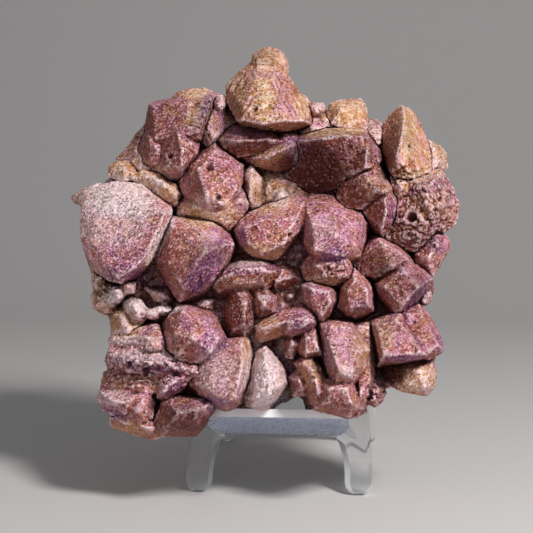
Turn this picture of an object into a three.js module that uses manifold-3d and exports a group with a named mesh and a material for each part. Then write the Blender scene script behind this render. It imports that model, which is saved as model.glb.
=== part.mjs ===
// Dogtooth calcite on matrix: blocky, druse-coated crystals on a leaning plate of rock,
// held by a one-piece clear easel. Millimetres, +Z up; the crystals face -Y.

import * as THREE from "three";
import { ConvexGeometry } from "three/addons/geometries/ConvexGeometry.js";
import { mergeVertices } from "three/addons/utils/BufferGeometryUtils.js";
import Module from "manifold-3d";

const wasm = await Module();
wasm.setup();

// ---- driving sizes (mm) ----

const SPECIMEN_WIDTH = 148; // across the crystals
const LEAN = THREE.MathUtils.degToRad(27); // the easel's face, back from upright
const CLEARANCE = 0.3; // between solids that touch
const SHEET = 3.2; // the easel's plastic sheet
const LEG_LENGTH = 22.1; // from the tongue's root down to the foot's end
const TONGUE_LENGTH = 25;
const FACE_LENGTH = 82; // from the tongue's root up to the fold
const FOLD_RADIUS = 3; // inside the fold at the top
const TONGUE_BEND_RADIUS = 1.6; // inside the bend at the tongue's root
const REAR_LEAN = THREE.MathUtils.degToRad(24); // the rear half, forward from upright
const CUT_BEVEL = 2.1; // the cut is wider on the sheet's back

// ---- the front view that places the crystals ----
// Each crystal is drawn as its outline in a square view 533 units wide, y down, with a third
// number for how many mm it stands in front of the easel's face. The view is seen from an
// eye near the specimen, so at() follows the eye's ray to that depth.

const DRAWN_WIDTH = 385; // the specimen's width in drawing units
const UNIT = SPECIMEN_WIDTH / DRAWN_WIDTH;
const DRAWING_CENTRE = [266.5, 266.5];
const DRAWING_AT = new THREE.Vector3(-5.5, 3, 65.2); // its centre, from the tongue's root
const EYE_DISTANCE = 560;
const EYE_TURN = THREE.MathUtils.degToRad(5); // towards +X
const EYE_RISE = THREE.MathUtils.degToRad(5);

const RIGHT = new THREE.Vector3(Math.cos(EYE_TURN), Math.sin(EYE_TURN), 0);
const TO_EYE = new THREE.Vector3(
  Math.sin(EYE_TURN) * Math.cos(EYE_RISE),
  -Math.cos(EYE_TURN) * Math.cos(EYE_RISE),
  Math.sin(EYE_RISE),
);
const ABOVE = new THREE.Vector3().crossVectors(TO_EYE, RIGHT);
const EYE = DRAWING_AT.clone().addScaledVector(TO_EYE, EYE_DISTANCE);

// the easel's face: UP runs up it, OUT stands square to it
const UP = new THREE.Vector3(0, Math.sin(LEAN), Math.cos(LEAN));
const OUT = new THREE.Vector3(0, -Math.cos(LEAN), Math.sin(LEAN));

function at(x, y, out) {
  const ray = RIGHT.clone().multiplyScalar((x - DRAWING_CENTRE[0]) * UNIT);
  ray.addScaledVector(ABOVE, (DRAWING_CENTRE[1] - y) * UNIT);
  ray.addScaledVector(TO_EYE, -EYE_DISTANCE);
  const share = (out - EYE.dot(OUT)) / ray.dot(OUT);
  return EYE.clone().addScaledVector(ray, share);
}

// a place given on the easel's own axes: across, up its face, out from it
function onFace(across, up, out) {
  return new THREE.Vector3(across, 0, 0).addScaledVector(UP, up).addScaledVector(OUT, out);
}

// ---- crystals ----

const ROOT_DEPTH = 14; // mm in front of the easel's face, where most crystals end in the rock
const ROOT_TAPER = 0.94; // an outer root is this much of its crystal's outline
const ROOT_CORNERS = 7; // a root keeps at most this many of the outline's corners
const ROOT_FLARE = 4; // mm that an inner root spreads, so that neighbours meet in a valley
const INNER_RIM = 34; // a rim corner this far in front of the easel's face has an inner root
const SOCKET = 0.42; // mm that a crystal's room is wider, so that the clearance is kept on its slopes

// rim: the outline; peaks: the ridge points inside it; root: how deep it is rooted
const CRYSTALS = {
  apex_crystal: {
    pyramid: {
      rim: [
        [226, 100, 27], [226, 86, 24], [231, 80, 23], [240, 71, 23], [250, 63, 24], [284, 70, 31],
        [291, 80, 27], [298, 90, 28], [306, 101, 31], [309, 110, 34], [309, 123, 38],
        [287, 131, 38], [262, 129, 39], [237, 121, 40],
      ],
      peaks: [
        [256, 75, 38], [272, 76, 39], [244, 107, 46], [241, 120, 45], [281, 106, 50],
        [284, 121, 52], [262, 124, 50], [303, 121, 45], [288, 82, 36],
      ],
      root: 8,
    },
    cap: {
      rim: [
        [251, 64, 26], [253, 54, 24], [262, 48, 23], [268, 47, 23], [277, 49, 23], [284, 53, 24],
        [288, 62, 25], [289, 73, 30], [286, 75, 33], [257, 73, 35], [251, 70, 29],
      ],
      peaks: [[258, 60, 31], [264, 53, 28], [276, 53, 28], [283, 61, 30]],
      root: 8,
    },
  },
  upper_dark_crystals: {
    left_lens: {
      rim: [
        [221, 140, 38], [227, 134, 36], [236, 128, 34], [247, 127, 34], [263, 129, 36],
        [272, 133, 38], [279, 140, 40], [277, 145, 40], [268, 150, 38], [250, 155, 38],
        [238, 157, 37], [224, 148, 38],
      ],
      peaks: [[232, 141, 44], [268, 140, 45]],
    },
    right_lens: {
      rim: [
        [241, 158, 32], [262, 150, 36], [277, 142, 38], [286, 134, 38], [293, 136, 38],
        [300, 142, 38], [301, 152, 38], [297, 163, 36], [288, 169, 34], [275, 171, 33],
        [255, 166, 32],
      ],
      peaks: [[282, 150, 45], [266, 158, 42], [293, 145, 44]],
    },
  },
  upper_left_crystals: {
    broad_block: {
      rim: [
        [147, 114, 26], [149, 104, 24], [155, 101, 24], [180, 97, 23], [205, 94, 23], [213, 92, 24],
        [212, 99, 34], [206, 118, 40], [198, 138, 42], [184, 143, 40], [160, 146, 36],
        [146, 138, 28], [145, 125, 27],
      ],
      peaks: [
        [152, 106, 33], [188, 101, 40], [209, 100, 38], [200, 131, 45], [188, 135, 45],
        [156, 139, 38],
      ],
      root: 8,
    },
    top_ledge: {
      rim: [
        [170, 100, 26], [176, 93, 24], [188, 89, 23], [204, 88, 22], [213, 91, 23], [212, 100, 31],
        [196, 104, 36], [178, 106, 34],
      ],
      peaks: [[186, 95, 32], [204, 94, 32]],
      root: 8,
    },
    pitted_chunk: {
      rim: [
        [146, 130, 28], [160, 128, 34], [166, 148, 36], [163, 172, 33], [151, 171, 29],
        [139, 163, 26], [138, 150, 25], [142, 138, 26],
      ],
      peaks: [[150, 140, 36], [158, 150, 38], [150, 160, 35]],
      root: 8,
    },
    pitted_tooth: {
      rim: [
        [176, 127, 41], [185, 134, 42], [194, 142, 41], [197, 152, 39], [189, 158, 39],
        [188, 168, 37], [182, 178, 35], [170, 180, 34], [160, 172, 33], [159, 155, 35],
        [163, 140, 38],
      ],
      peaks: [
        [178, 133, 46], [182, 152, 50], [182, 167, 47], [167, 166, 43], [190, 143, 46],
      ],
    },
  },
  upper_middle_crystals: {
    many_faced: {
      rim: [
        [214, 147, 41], [228, 156, 43], [240, 167, 44], [240, 191, 44], [226, 209, 43],
        [206, 212, 43], [190, 200, 38], [182, 192, 36], [181, 180, 37], [190, 166, 40],
      ],
      peaks: [
        [198, 170, 48], [206, 194, 50], [215, 151, 44], [236, 169, 46], [237, 189, 46],
        [224, 205, 46], [207, 208, 46], [226, 180, 49],
      ],
    },
    low_block: {
      rim: [
        [178, 203, 33], [186, 196, 35], [238, 188, 38], [244, 193, 39], [249, 204, 39],
        [243, 215, 37], [236, 224, 35], [229, 231, 34], [212, 224, 36], [177, 215, 33],
      ],
      peaks: [[240, 200, 43], [216, 215, 43], [193, 206, 41]],
    },
  },
  top_block: {
    ochre_block: {
      rim: [
        [326, 114, 26], [331, 103, 22], [339, 101, 22], [352, 100, 21], [361, 99, 20],
        [366, 106, 22], [368, 121, 26], [367, 129, 30], [350, 130, 32], [332, 124, 32],
      ],
      peaks: [[341, 108, 34], [362, 112, 30]],
      root: 8,
    },
  },
  upper_right_crystals: {
    wide_dark: {
      rim: [
        [285, 140, 33], [300, 137, 35], [320, 131, 34], [345, 129, 34], [366, 129, 36],
        [370, 139, 42], [366, 152, 43], [354, 168, 41], [345, 179, 38], [338, 188, 33],
        [322, 194, 28], [302, 196, 26], [290, 194, 26], [284, 184, 28], [283, 160, 31],
      ],
      peaks: [
        [300, 141, 43], [322, 138, 47], [345, 135, 48], [363, 137, 47], [364, 150, 46],
        [342, 166, 42],
      ],
    },
    first_step: {
      rim: [
        [367, 139, 42], [376, 148, 43], [380, 161, 43], [377, 167, 43], [361, 173, 42],
        [350, 177, 41], [344, 174, 40], [354, 156, 42],
      ],
      peaks: [[367, 149, 49], [365, 168, 49]],
    },
    second_step: {
      rim: [
        [379, 167, 43], [386, 178, 43], [392, 188, 43], [391, 195, 43], [378, 201, 43],
        [362, 209, 42], [347, 208, 40], [337, 198, 38], [345, 184, 40], [360, 172, 42],
      ],
      peaks: [[364, 175, 48], [376, 190, 51], [385, 192, 49], [356, 190, 46]],
    },
    third_step: {
      rim: [
        [391, 190, 42], [397, 198, 41], [396, 215, 40], [392, 224, 39], [383, 238, 37],
        [374, 229, 37], [363, 212, 40], [372, 203, 43], [384, 197, 43],
      ],
      peaks: [[385, 199, 50], [386, 213, 49], [382, 228, 45]],
    },
  },
  right_tall_crystal: {
    tooth: {
      rim: [
        [401, 105, 30], [411, 109, 28], [416, 115, 27], [420, 123, 27], [424, 133, 28],
        [428, 142, 29], [431, 158, 33], [431, 172, 38], [415, 178, 44], [402, 178, 46],
        [391, 174, 44], [386, 164, 36], [379, 148, 27], [380, 130, 26], [390, 115, 27],
      ],
      peaks: [[403, 108, 34], [404, 121, 42], [401, 140, 49], [396, 157, 52]],
      root: 10,
    },
  },
  right_porous_crystals: {
    upper_mass: {
      rim: [
        [410, 176, 40], [423, 172, 38], [441, 170, 31], [447, 178, 29], [453, 189, 29],
        [459, 205, 29], [456, 214, 29], [455, 224, 30], [445, 232, 32], [432, 230, 39],
        [424, 215, 43], [413, 200, 44], [405, 190, 43],
      ],
      peaks: [
        [414, 181, 46], [426, 189, 49], [433, 182, 46], [446, 191, 40], [440, 206, 45],
        [430, 213, 48], [450, 206, 36],
      ],
      root: 10,
    },
    lower_mass: {
      rim: [
        [397, 200, 41], [408, 194, 42], [424, 203, 42], [432, 218, 42], [433, 232, 40],
        [425, 242, 38], [416, 250, 37], [400, 247, 37], [386, 238, 37], [390, 225, 39],
        [396, 212, 41],
      ],
      peaks: [[416, 208, 46], [424, 220, 47], [404, 236, 43], [418, 238, 43]],
    },
    bridge: {
      rim: [
        [392, 176, 42], [405, 172, 42], [412, 180, 42], [410, 200, 41], [398, 202, 41],
        [391, 190, 40],
      ],
      peaks: [[400, 186, 46]],
    },
  },
  right_edge_crystal: {
    slanting_tooth: {
      rim: [
        [438, 231, 30], [443, 233, 29], [447, 237, 28], [450, 243, 27], [450, 249, 27],
        [445, 256, 27], [438, 268, 28], [433, 277, 30], [425, 271, 32], [416, 263, 33],
        [415, 254, 34], [424, 243, 34], [432, 235, 33],
      ],
      peaks: [[437, 245, 39], [428, 258, 39]],
      root: 10,
    },
  },
  right_middle_crystals: {
    upper_block: {
      rim: [
        [352, 262, 36], [362, 249, 35], [370, 240, 36], [379, 238, 40], [396, 246, 41],
        [407, 256, 40], [412, 264, 39], [398, 271, 42], [376, 277, 39], [360, 274, 37],
      ],
      peaks: [
        [381, 242, 46], [398, 251, 46], [407, 259, 44], [392, 268, 46], [370, 264, 41],
      ],
    },
    lower_block: {
      rim: [
        [377, 284, 38], [378, 291, 38], [388, 304, 38], [396, 314, 40], [404, 311, 40],
        [418, 298, 38], [424, 291, 37], [432, 279, 34], [424, 272, 37], [410, 264, 41],
        [396, 268, 42],
      ],
      peaks: [[402, 268, 47], [419, 287, 48], [402, 306, 46], [384, 287, 45], [412, 270, 45]],
    },
  },
  right_lower_crystals: {
    near_block: {
      rim: [
        [372, 323, 40], [388, 316, 42], [400, 314, 44], [412, 332, 46], [427, 355, 44],
        [414, 359, 45], [381, 361, 43], [376, 341, 40],
      ],
      peaks: [[377, 326, 45], [397, 319, 48], [421, 353, 48], [384, 356, 48]],
    },
    far_block: {
      rim: [
        [403, 312, 40], [419, 304, 34], [428, 313, 32], [434, 322, 32], [441, 338, 32],
        [445, 347, 32], [443, 352, 33], [430, 359, 36], [420, 356, 42], [408, 335, 44],
      ],
      peaks: [[408, 315, 43], [421, 312, 42], [438, 345, 42], [428, 353, 44]],
      root: 10,
    },
  },
  lower_right_crystal: {
    block: {
      rim: [
        [384, 366, 26], [415, 360, 30], [433, 359, 28], [437, 375, 27], [434, 388, 27],
        [427, 396, 29], [415, 394, 30], [400, 391, 29], [389, 385, 26], [384, 381, 24],
      ],
      peaks: [[418, 370, 39], [430, 372, 38], [425, 388, 37], [404, 384, 34]],
      root: 8,
    },
  },
  left_shoulder_crystals: {
    tan_prism: {
      rim: [
        [130, 178, 30], [143, 170, 31], [160, 175, 33], [176, 185, 34], [181, 194, 34],
        [177, 205, 34], [165, 205, 35], [148, 195, 34],
      ],
      peaks: [[148, 177, 37], [163, 184, 42], [174, 194, 42]],
    },
    small_block: {
      rim: [
        [110, 166, 22], [117, 161, 22], [130, 161, 24], [138, 167, 26], [144, 180, 28],
        [122, 182, 28], [108, 176, 24],
      ],
      peaks: [[124, 170, 31]],
      root: 8,
    },
  },
  left_blade_crystal: {
    blade: {
      rim: [
        [82, 206, 32], [88, 192, 31], [101, 184, 32], [117, 181, 33], [141, 184, 35],
        [150, 193, 38], [160, 200, 40], [172, 209, 41], [172, 214, 41], [160, 234, 41],
        [150, 256, 41], [148, 265, 41], [131, 276, 41], [121, 283, 40], [114, 281, 39],
        [99, 270, 37], [90, 260, 36], [85, 249, 34], [81, 241, 33], [80, 224, 32],
      ],
      peaks: [
        [165, 213, 47], [146, 255, 47], [112, 192, 38], [152, 202, 43], [96, 222, 38],
        [94, 246, 39], [135, 268, 45], [118, 277, 43],
      ],
      root: 10,
    },
  },
  left_centre_crystal: {
    block: {
      rim: [
        [170, 218, 38], [190, 220, 40], [212, 223, 42], [219, 229, 43], [234, 244, 42],
        [232, 249, 42], [227, 260, 42], [218, 274, 42], [212, 282, 42], [203, 291, 40],
        [180, 302, 36], [175, 296, 36], [172, 283, 36], [163, 272, 35], [155, 260, 35],
        [158, 245, 35], [163, 232, 36],
      ],
      peaks: [
        [205, 250, 53], [200, 226, 45], [183, 290, 44], [172, 226, 42], [168, 262, 43],
        [178, 280, 45],
      ],
    },
  },
  centre_crystals: {
    left_block: {
      rim: [
        [236, 230, 38], [239, 222, 37], [248, 213, 36], [265, 210, 35], [283, 200, 35],
        [295, 195, 35], [305, 200, 38], [304, 222, 42], [298, 233, 42], [289, 241, 42],
        [284, 250, 40], [278, 258, 38], [265, 260, 38], [254, 257, 38], [246, 251, 38],
        [239, 242, 38],
      ],
      peaks: [
        [244, 228, 44], [262, 220, 47], [296, 218, 48], [284, 244, 46], [262, 254, 43],
        [248, 244, 44],
      ],
    },
    right_block: {
      rim: [
        [304, 219, 42], [304, 201, 37], [314, 196, 35], [332, 198, 36], [340, 204, 38],
        [361, 213, 40], [367, 224, 40], [365, 238, 40], [361, 252, 41], [360, 257, 41],
        [350, 260, 42], [330, 262, 42], [315, 257, 42], [309, 251, 41], [304, 243, 41],
      ],
      peaks: [
        [313, 224, 50], [315, 250, 49], [330, 208, 46], [358, 222, 47], [356, 246, 47],
        [344, 256, 47], [335, 234, 52],
      ],
    },
    stub: {
      rim: [
        [302, 267, 36], [309, 256, 38], [330, 252, 42], [350, 257, 42], [351, 278, 39],
        [332, 286, 37], [321, 284, 37], [306, 280, 35],
      ],
      peaks: [[318, 266, 43], [345, 262, 46], [345, 276, 43], [325, 276, 43]],
    },
  },
  inner_crystals: {
    banded_lens: {
      rim: [
        [211, 284, 37], [222, 270, 38], [240, 261, 37], [262, 259, 36], [272, 265, 36],
        [278, 272, 34], [275, 283, 32], [266, 291, 34], [250, 293, 35], [235, 292, 36],
        [219, 292, 36],
      ],
      peaks: [
        [224, 277, 43], [240, 269, 46], [262, 268, 46], [270, 272, 43], [262, 282, 42],
        [238, 284, 43],
      ],
    },
    rear_wedge: {
      rim: [
        [268, 266, 28], [284, 262, 29], [300, 268, 30], [305, 280, 30], [292, 289, 29],
        [274, 290, 30],
      ],
      peaks: [[282, 271, 36], [294, 277, 35], [276, 282, 37]],
      root: 10,
    },
    shaded_tooth: {
      rim: [
        [221, 317, 28], [227, 300, 33], [233, 289, 36], [249, 289, 37], [254, 302, 35],
        [253, 325, 33], [244, 341, 32], [228, 340, 29],
      ],
      peaks: [
        [240, 295, 42], [246, 303, 42], [244, 325, 41], [231, 308, 38], [234, 330, 37],
      ],
    },
    small_tooth: {
      rim: [
        [251, 297, 33], [256, 289, 35], [266, 289, 36], [274, 298, 36], [276, 312, 33],
        [262, 318, 31], [251, 313, 31],
      ],
      peaks: [[258, 296, 41], [268, 296, 41], [264, 306, 40]],
    },
  },
  five_sided_crystal: {
    prism: {
      rim: [
        [303, 286, 38], [311, 283, 38], [322, 286, 39], [332, 289, 40], [335, 300, 40],
        [330, 313, 40], [323, 323, 38], [317, 320, 38], [311, 309, 38], [305, 300, 38],
      ],
      peaks: [[311, 289, 45], [328, 292, 47], [331, 302, 47], [322, 316, 45], [312, 303, 44]],
    },
  },
  small_centre_crystals: {
    tan_lens: {
      rim: [
        [254, 327, 33], [262, 321, 34], [275, 315, 36], [286, 311, 37], [287, 333, 36],
        [273, 339, 34], [261, 343, 32], [255, 338, 32],
      ],
      peaks: [[258, 329, 39], [285, 322, 44], [266, 333, 39]],
    },
    purple_prism: {
      rim: [
        [283, 313, 37], [292, 310, 38], [302, 308, 39], [310, 311, 40], [315, 316, 41],
        [316, 323, 41], [312, 329, 40], [302, 332, 39], [293, 336, 38], [284, 334, 37],
      ],
      peaks: [
        [286, 322, 44], [306, 317, 47], [311, 321, 46], [303, 326, 46], [289, 329, 43],
      ],
    },
    lower_cube: {
      rim: [
        [299, 344, 36], [304, 333, 38], [315, 329, 38], [320, 341, 38], [324, 351, 38],
        [321, 355, 38], [306, 358, 37], [300, 352, 36],
      ],
      peaks: [[306, 338, 44], [314, 336, 44], [319, 351, 43], [306, 353, 42]],
    },
    lower_chip: {
      rim: [
        [285, 341, 32], [291, 334, 34], [298, 339, 34], [300, 347, 34], [292, 359, 32],
        [285, 357, 31],
      ],
      peaks: [[292, 343, 40]],
    },
  },
  right_inner_crystal: {
    block: {
      rim: [
        [338, 306, 38], [342, 288, 38], [350, 283, 38], [354, 268, 38], [364, 278, 40],
        [371, 288, 42], [372, 309, 42], [364, 311, 41], [355, 317, 40], [346, 315, 39],
      ],
      peaks: [[348, 292, 46], [355, 280, 45], [367, 290, 47], [368, 305, 47], [350, 308, 46]],
    },
  },
  lower_centre_crystals: {
    great_tooth: {
      rim: [
        [320, 324, 40], [332, 322, 42], [352, 324, 42], [361, 338, 43], [369, 350, 44],
        [364, 369, 44], [354, 382, 44], [344, 387, 43], [334, 388, 42], [328, 371, 40],
        [324, 352, 40],
      ],
      peaks: [
        [332, 326, 46], [350, 327, 47], [331, 346, 52], [339, 371, 53], [362, 351, 50],
        [357, 366, 50], [349, 377, 50],
      ],
    },
    foot_block: {
      rim: [
        [310, 390, 37], [320, 380, 40], [333, 380, 42], [345, 382, 43], [353, 384, 43],
        [357, 398, 42], [358, 408, 39], [350, 417, 37], [340, 411, 38], [328, 409, 38],
        [316, 408, 36],
      ],
      peaks: [[330, 388, 48], [346, 389, 50], [351, 403, 46], [328, 402, 46]],
      root: 4,
      taper: 0.95,
    },
    tan_post: {
      rim: [
        [295, 364, 34], [303, 358, 36], [312, 358, 38], [319, 367, 40], [325, 380, 41],
        [326, 396, 40], [320, 408, 37], [312, 403, 36], [308, 392, 35], [301, 378, 34],
      ],
      peaks: [[304, 364, 42], [313, 371, 45], [318, 390, 46]],
    },
    low_pyramid: {
      rim: [
        [288, 377, 31], [297, 371, 33], [305, 373, 34], [312, 388, 34], [304, 396, 32],
        [293, 396, 30],
      ],
      peaks: [[299, 381, 40], [302, 387, 39]],
      root: 10,
    },
    rear_plate: {
      rim: [
        [352, 322, 30], [371, 321, 32], [374, 340, 32], [375, 370, 32], [374, 384, 32],
        [371, 400, 31], [363, 412, 30], [357, 419, 30], [353, 412, 30], [352, 370, 30],
      ],
      peaks: [
        [358, 326, 39], [369, 327, 39], [370, 350, 40], [370, 378, 40], [360, 398, 40],
      ],
      root: 8,
    },
    right_knob: {
      rim: [
        [366, 380, 29], [377, 379, 28], [384, 386, 27], [386, 393, 27], [382, 402, 28],
        [375, 407, 29], [366, 404, 30],
      ],
      peaks: [[374, 386, 37], [380, 391, 34], [373, 398, 37]],
      root: 8,
    },
  },
  lower_middle_crystals: {
    six_sided: {
      rim: [
        [165, 333, 37], [168, 317, 38], [175, 309, 38], [186, 306, 38], [194, 310, 39],
        [201, 316, 40], [208, 314, 41], [216, 324, 42], [223, 334, 42], [223, 342, 42],
        [218, 350, 42], [210, 357, 42], [199, 362, 42], [186, 364, 40], [175, 358, 39],
        [167, 348, 38],
      ],
      peaks: [
        [183, 310, 45], [175, 334, 47], [178, 354, 45], [204, 320, 47], [219, 338, 47],
        [211, 352, 47], [192, 338, 51],
      ],
    },
    great_wedge: {
      rim: [
        [216, 346, 40], [230, 340, 40], [244, 337, 37], [249, 341, 36], [251, 358, 36],
        [250, 379, 37], [245, 390, 38], [239, 403, 38], [227, 408, 38], [213, 403, 38],
        [199, 394, 37], [189, 383, 36], [196, 370, 38], [206, 354, 39],
      ],
      peaks: [
        [242, 340, 43], [242, 367, 50], [235, 399, 48], [212, 372, 46], [206, 388, 45],
        [225, 402, 46],
      ],
      root: 4,
      taper: 0.95,
    },
  },
  lower_pale_crystal: {
    tooth: {
      rim: [
        [259, 351, 36], [266, 347, 36], [272, 356, 37], [283, 369, 37], [285, 382, 37],
        [277, 396, 37], [265, 407, 37], [252, 406, 36], [244, 396, 35], [247, 385, 35],
        [252, 365, 35],
      ],
      peaks: [
        [264, 355, 44], [268, 371, 50], [278, 371, 45], [281, 385, 44], [270, 394, 48],
        [256, 399, 45], [256, 376, 45],
      ],
      root: 6,
      taper: 0.9,
    },
  },
  lower_left_crystals: {
    shelf: {
      rim: [
        [109, 338, 26], [130, 337, 30], [143, 328, 34], [157, 325, 36], [163, 338, 38],
        [165, 350, 38], [150, 352, 38], [130, 349, 34], [110, 346, 27],
      ],
      peaks: [[148, 338, 41], [155, 348, 42]],
      root: 8,
    },
    porous_layer: {
      rim: [
        [109, 348, 27], [130, 350, 35], [165, 352, 38], [180, 361, 40], [197, 366, 40],
        [200, 374, 40], [186, 380, 39], [160, 377, 38], [140, 374, 37], [118, 370, 32],
        [106, 366, 26], [105, 358, 26],
      ],
      peaks: [[125, 360, 40], [165, 362, 44], [140, 362, 43], [190, 370, 44]],
      root: 8,
    },
    lower_layer: {
      rim: [
        [103, 372, 25], [120, 371, 30], [150, 374, 36], [175, 374, 36], [165, 386, 34],
        [150, 395, 34], [125, 395, 32], [101, 390, 25],
      ],
      peaks: [[135, 384, 36]],
      root: 8,
    },
    finger: {
      rim: [
        [158, 391, 38], [162, 380, 40], [168, 375, 40], [185, 373, 38], [200, 370, 36],
        [196, 378, 36], [180, 388, 39], [166, 397, 39], [160, 396, 38],
      ],
      peaks: [[170, 383, 46], [164, 391, 45]],
    },
    left_lobe: {
      rim: [
        [98, 401, 26], [100, 391, 26], [115, 391, 30], [138, 394, 34], [135, 405, 36],
        [125, 415, 36], [110, 414, 30], [102, 409, 27],
      ],
      peaks: [[112, 401, 38], [128, 402, 41]],
      root: 8,
    },
    middle_lobe: {
      rim: [
        [137, 395, 34], [148, 391, 34], [154, 402, 34], [152, 418, 34], [140, 424, 35],
        [125, 424, 33], [115, 418, 30], [126, 408, 36],
      ],
      peaks: [[138, 408, 41]],
      root: 8,
    },
    right_lobe: {
      rim: [
        [160, 412, 34], [164, 403, 36], [170, 399, 37], [180, 401, 38], [200, 400, 38],
        [214, 403, 38], [210, 412, 38], [198, 425, 38], [190, 428, 37], [178, 432, 36],
        [163, 436, 33], [154, 432, 32], [155, 420, 33],
      ],
      peaks: [[178, 412, 46], [195, 410, 46], [170, 424, 43]],
    },
    bottom_ledge: {
      rim: [
        [110, 417, 22], [125, 418, 28], [150, 420, 32], [165, 430, 32], [163, 436, 30],
        [154, 440, 28], [142, 436, 26], [130, 431, 24], [117, 429, 21], [110, 426, 20],
      ],
      peaks: [[145, 428, 35]],
      root: 10,
    },
  },
};

// ---- the matrix: a plate of rock, with lumps and small crystals fused to it ----

const MATRIX_OUTLINE = [
  [262, 72], [285, 76], [302, 105], [330, 112], [360, 110], [376, 126], [395, 132], [416, 130],
  [432, 146], [440, 170], [449, 195], [448, 220], [440, 245], [432, 268], [421, 290], [424, 315],
  [434, 335], [432, 355], [425, 382], [400, 383], [376, 394], [362, 404], [345, 414], [318, 410],
  [311, 399], [282, 396], [272, 410], [240, 414], [212, 412], [190, 418], [150, 428], [116, 418],
  [106, 400], [108, 370], [114, 340], [112, 318], [98, 305], [98, 285], [96, 265], [88, 245],
  [87, 215], [98, 190], [118, 166], [145, 140], [155, 114], [180, 103], [210, 101], [236, 100],
  [245, 84],
];
const MATRIX_CENTRE = [268, 262];
const MATRIX_REACH = 165; // from its centre to its edge, on the whole
const MATRIX_STEPS = 36; // around its outline
// from the back to the front: the share of the outline, and mm in front of the easel's face
const MATRIX_RINGS = [
  [0.26, 2], [0.6, 2.4], [0.93, 3.5], [1, 9], [0.95, 17], [0.82, 24], [0.5, 29],
];
const MATRIX_STAGGER = 0.09; // every second point of a ring sits this much further in
const MATRIX_ROUGHNESS = 1.6; // mm

const LUMP_DETAIL = 1;
const LUMP_ROOT = 5; // mm in front of the easel's face
// lumps: centre, half width, half height and half depth, all drawn but the last in mm
const LUMPS = {
  top_left_nugget: [219, 104, 26, 8, 9, 6],
  apex_right_nugget: [317, 109, 27, 9, 7, 6],
  right_chip: [424, 294, 27, 7, 11, 6],
  left_knob: [103, 281, 22, 12, 22, 9],
  left_heel: [104, 301, 22, 14, 14, 9],
  trail_knob: [164, 310, 33, 9, 5, 4],
  trail_end: [153, 314, 32, 8, 6, 4],
};

// small crystals that grow straight from the rock
const SMALL_CRYSTALS = {
  spur: {
    rim: [[72, 198, 16], [82, 190, 18], [98, 183, 20], [116, 192, 20], [104, 214, 18], [84, 208, 17]],
    peaks: [[86, 196, 24]],
    root: 4,
    taper: 1,
  },
  shoulder_face: {
    rim: [
      [147, 122, 22], [139, 134, 20], [128, 149, 18], [117, 160, 18], [112, 167, 18], [125, 178, 24],
      [160, 182, 26], [166, 150, 28],
    ],
    peaks: [[148, 148, 31], [134, 161, 28], [150, 168, 32]],
    root: 6,
  },
  left_saddle_ridge: {
    rim: [
      [206, 100, 20], [214, 96, 19], [236, 112, 22], [242, 128, 26], [228, 142, 29], [206, 148, 29],
      [197, 136, 28],
    ],
    peaks: [[213, 103, 28], [208, 124, 33], [212, 138, 33]],
    root: 6,
  },
  right_saddle_ridge: {
    rim: [
      [300, 110, 24], [311, 104, 22], [322, 108, 21], [334, 113, 24], [346, 128, 30], [330, 134, 31],
      [306, 140, 31], [296, 128, 28],
    ],
    peaks: [[312, 112, 28], [326, 118, 29], [312, 128, 31]],
    root: 6,
  },
  top_right_ridge: {
    rim: [
      [362, 122, 23], [372, 120, 22], [382, 124, 22], [392, 126, 22], [390, 140, 28],
      [376, 146, 34], [364, 138, 32],
    ],
    peaks: [[374, 127, 31], [384, 132, 31]],
    root: 6,
  },
  right_nugget: {
    rim: [
      [424, 138, 24], [432, 142, 22], [440, 147, 20], [446, 156, 19], [447, 167, 19], [441, 176, 22],
      [431, 178, 26], [424, 165, 28],
    ],
    peaks: [[434, 149, 30], [440, 160, 29], [433, 170, 31]],
    root: 8,
  },
  tall_blade: {
    rim: [[251, 167, 35], [261, 178, 35], [261, 209, 33], [250, 210, 33], [241, 192, 32], [242, 177, 33]],
    peaks: [[250, 183, 41], [250, 202, 40]],
  },
  thin_blade: {
    rim: [[261, 192, 28], [267, 182, 30], [272, 188, 32], [272, 208, 30], [261, 209, 28]],
    peaks: [[267, 192, 35]],
  },
  pale_blade: {
    rim: [[271, 192, 30], [283, 187, 32], [292, 197, 32], [287, 204, 32], [270, 208, 32]],
    peaks: [[280, 195, 37]],
  },
  purple_chip: {
    rim: [[145, 288, 28], [172, 288, 30], [173, 302, 31], [156, 303, 29]],
    peaks: [[166, 296, 37]],
  },
  pale_chip: {
    rim: [
      [190, 303, 27], [204, 297, 29], [218, 296, 30], [212, 312, 30], [202, 318, 29],
      [192, 314, 28],
    ],
    peaks: [[206, 303, 36], [200, 310, 35]],
  },
  deep_chip: {
    rim: [
      [280, 294, 25], [288, 291, 26], [298, 290, 26], [294, 302, 26], [284, 304, 25],
    ],
    peaks: [[288, 295, 33], [292, 298, 33]],
  },
  white_knob: {
    rim: [
      [108, 294, 30], [114, 286, 32], [123, 287, 33], [125, 296, 33], [119, 303, 32], [110, 303, 30],
    ],
    peaks: [[115, 291, 41], [119, 299, 39]],
  },
  ochre_knob: {
    rim: [[120, 285, 31], [127, 279, 31], [135, 283, 31], [134, 293, 32], [125, 295, 32]],
    peaks: [[126, 284, 38], [130, 289, 38]],
  },
  left_saddle: {
    rim: [
      [110, 311, 22], [124, 306, 25], [140, 318, 28], [142, 331, 30], [130, 340, 30], [111, 340, 25],
      [113, 325, 22],
    ],
    peaks: [[122, 318, 32], [128, 332, 34]],
    root: 6,
  },
  white_block: {
    rim: [
      [123, 303, 28], [129, 298, 28], [141, 300, 30], [148, 308, 31], [150, 315, 31],
      [143, 324, 30], [128, 325, 28], [124, 315, 28],
    ],
    peaks: [[135, 307, 37], [138, 317, 36]],
  },
};

// ---- solids ----

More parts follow.
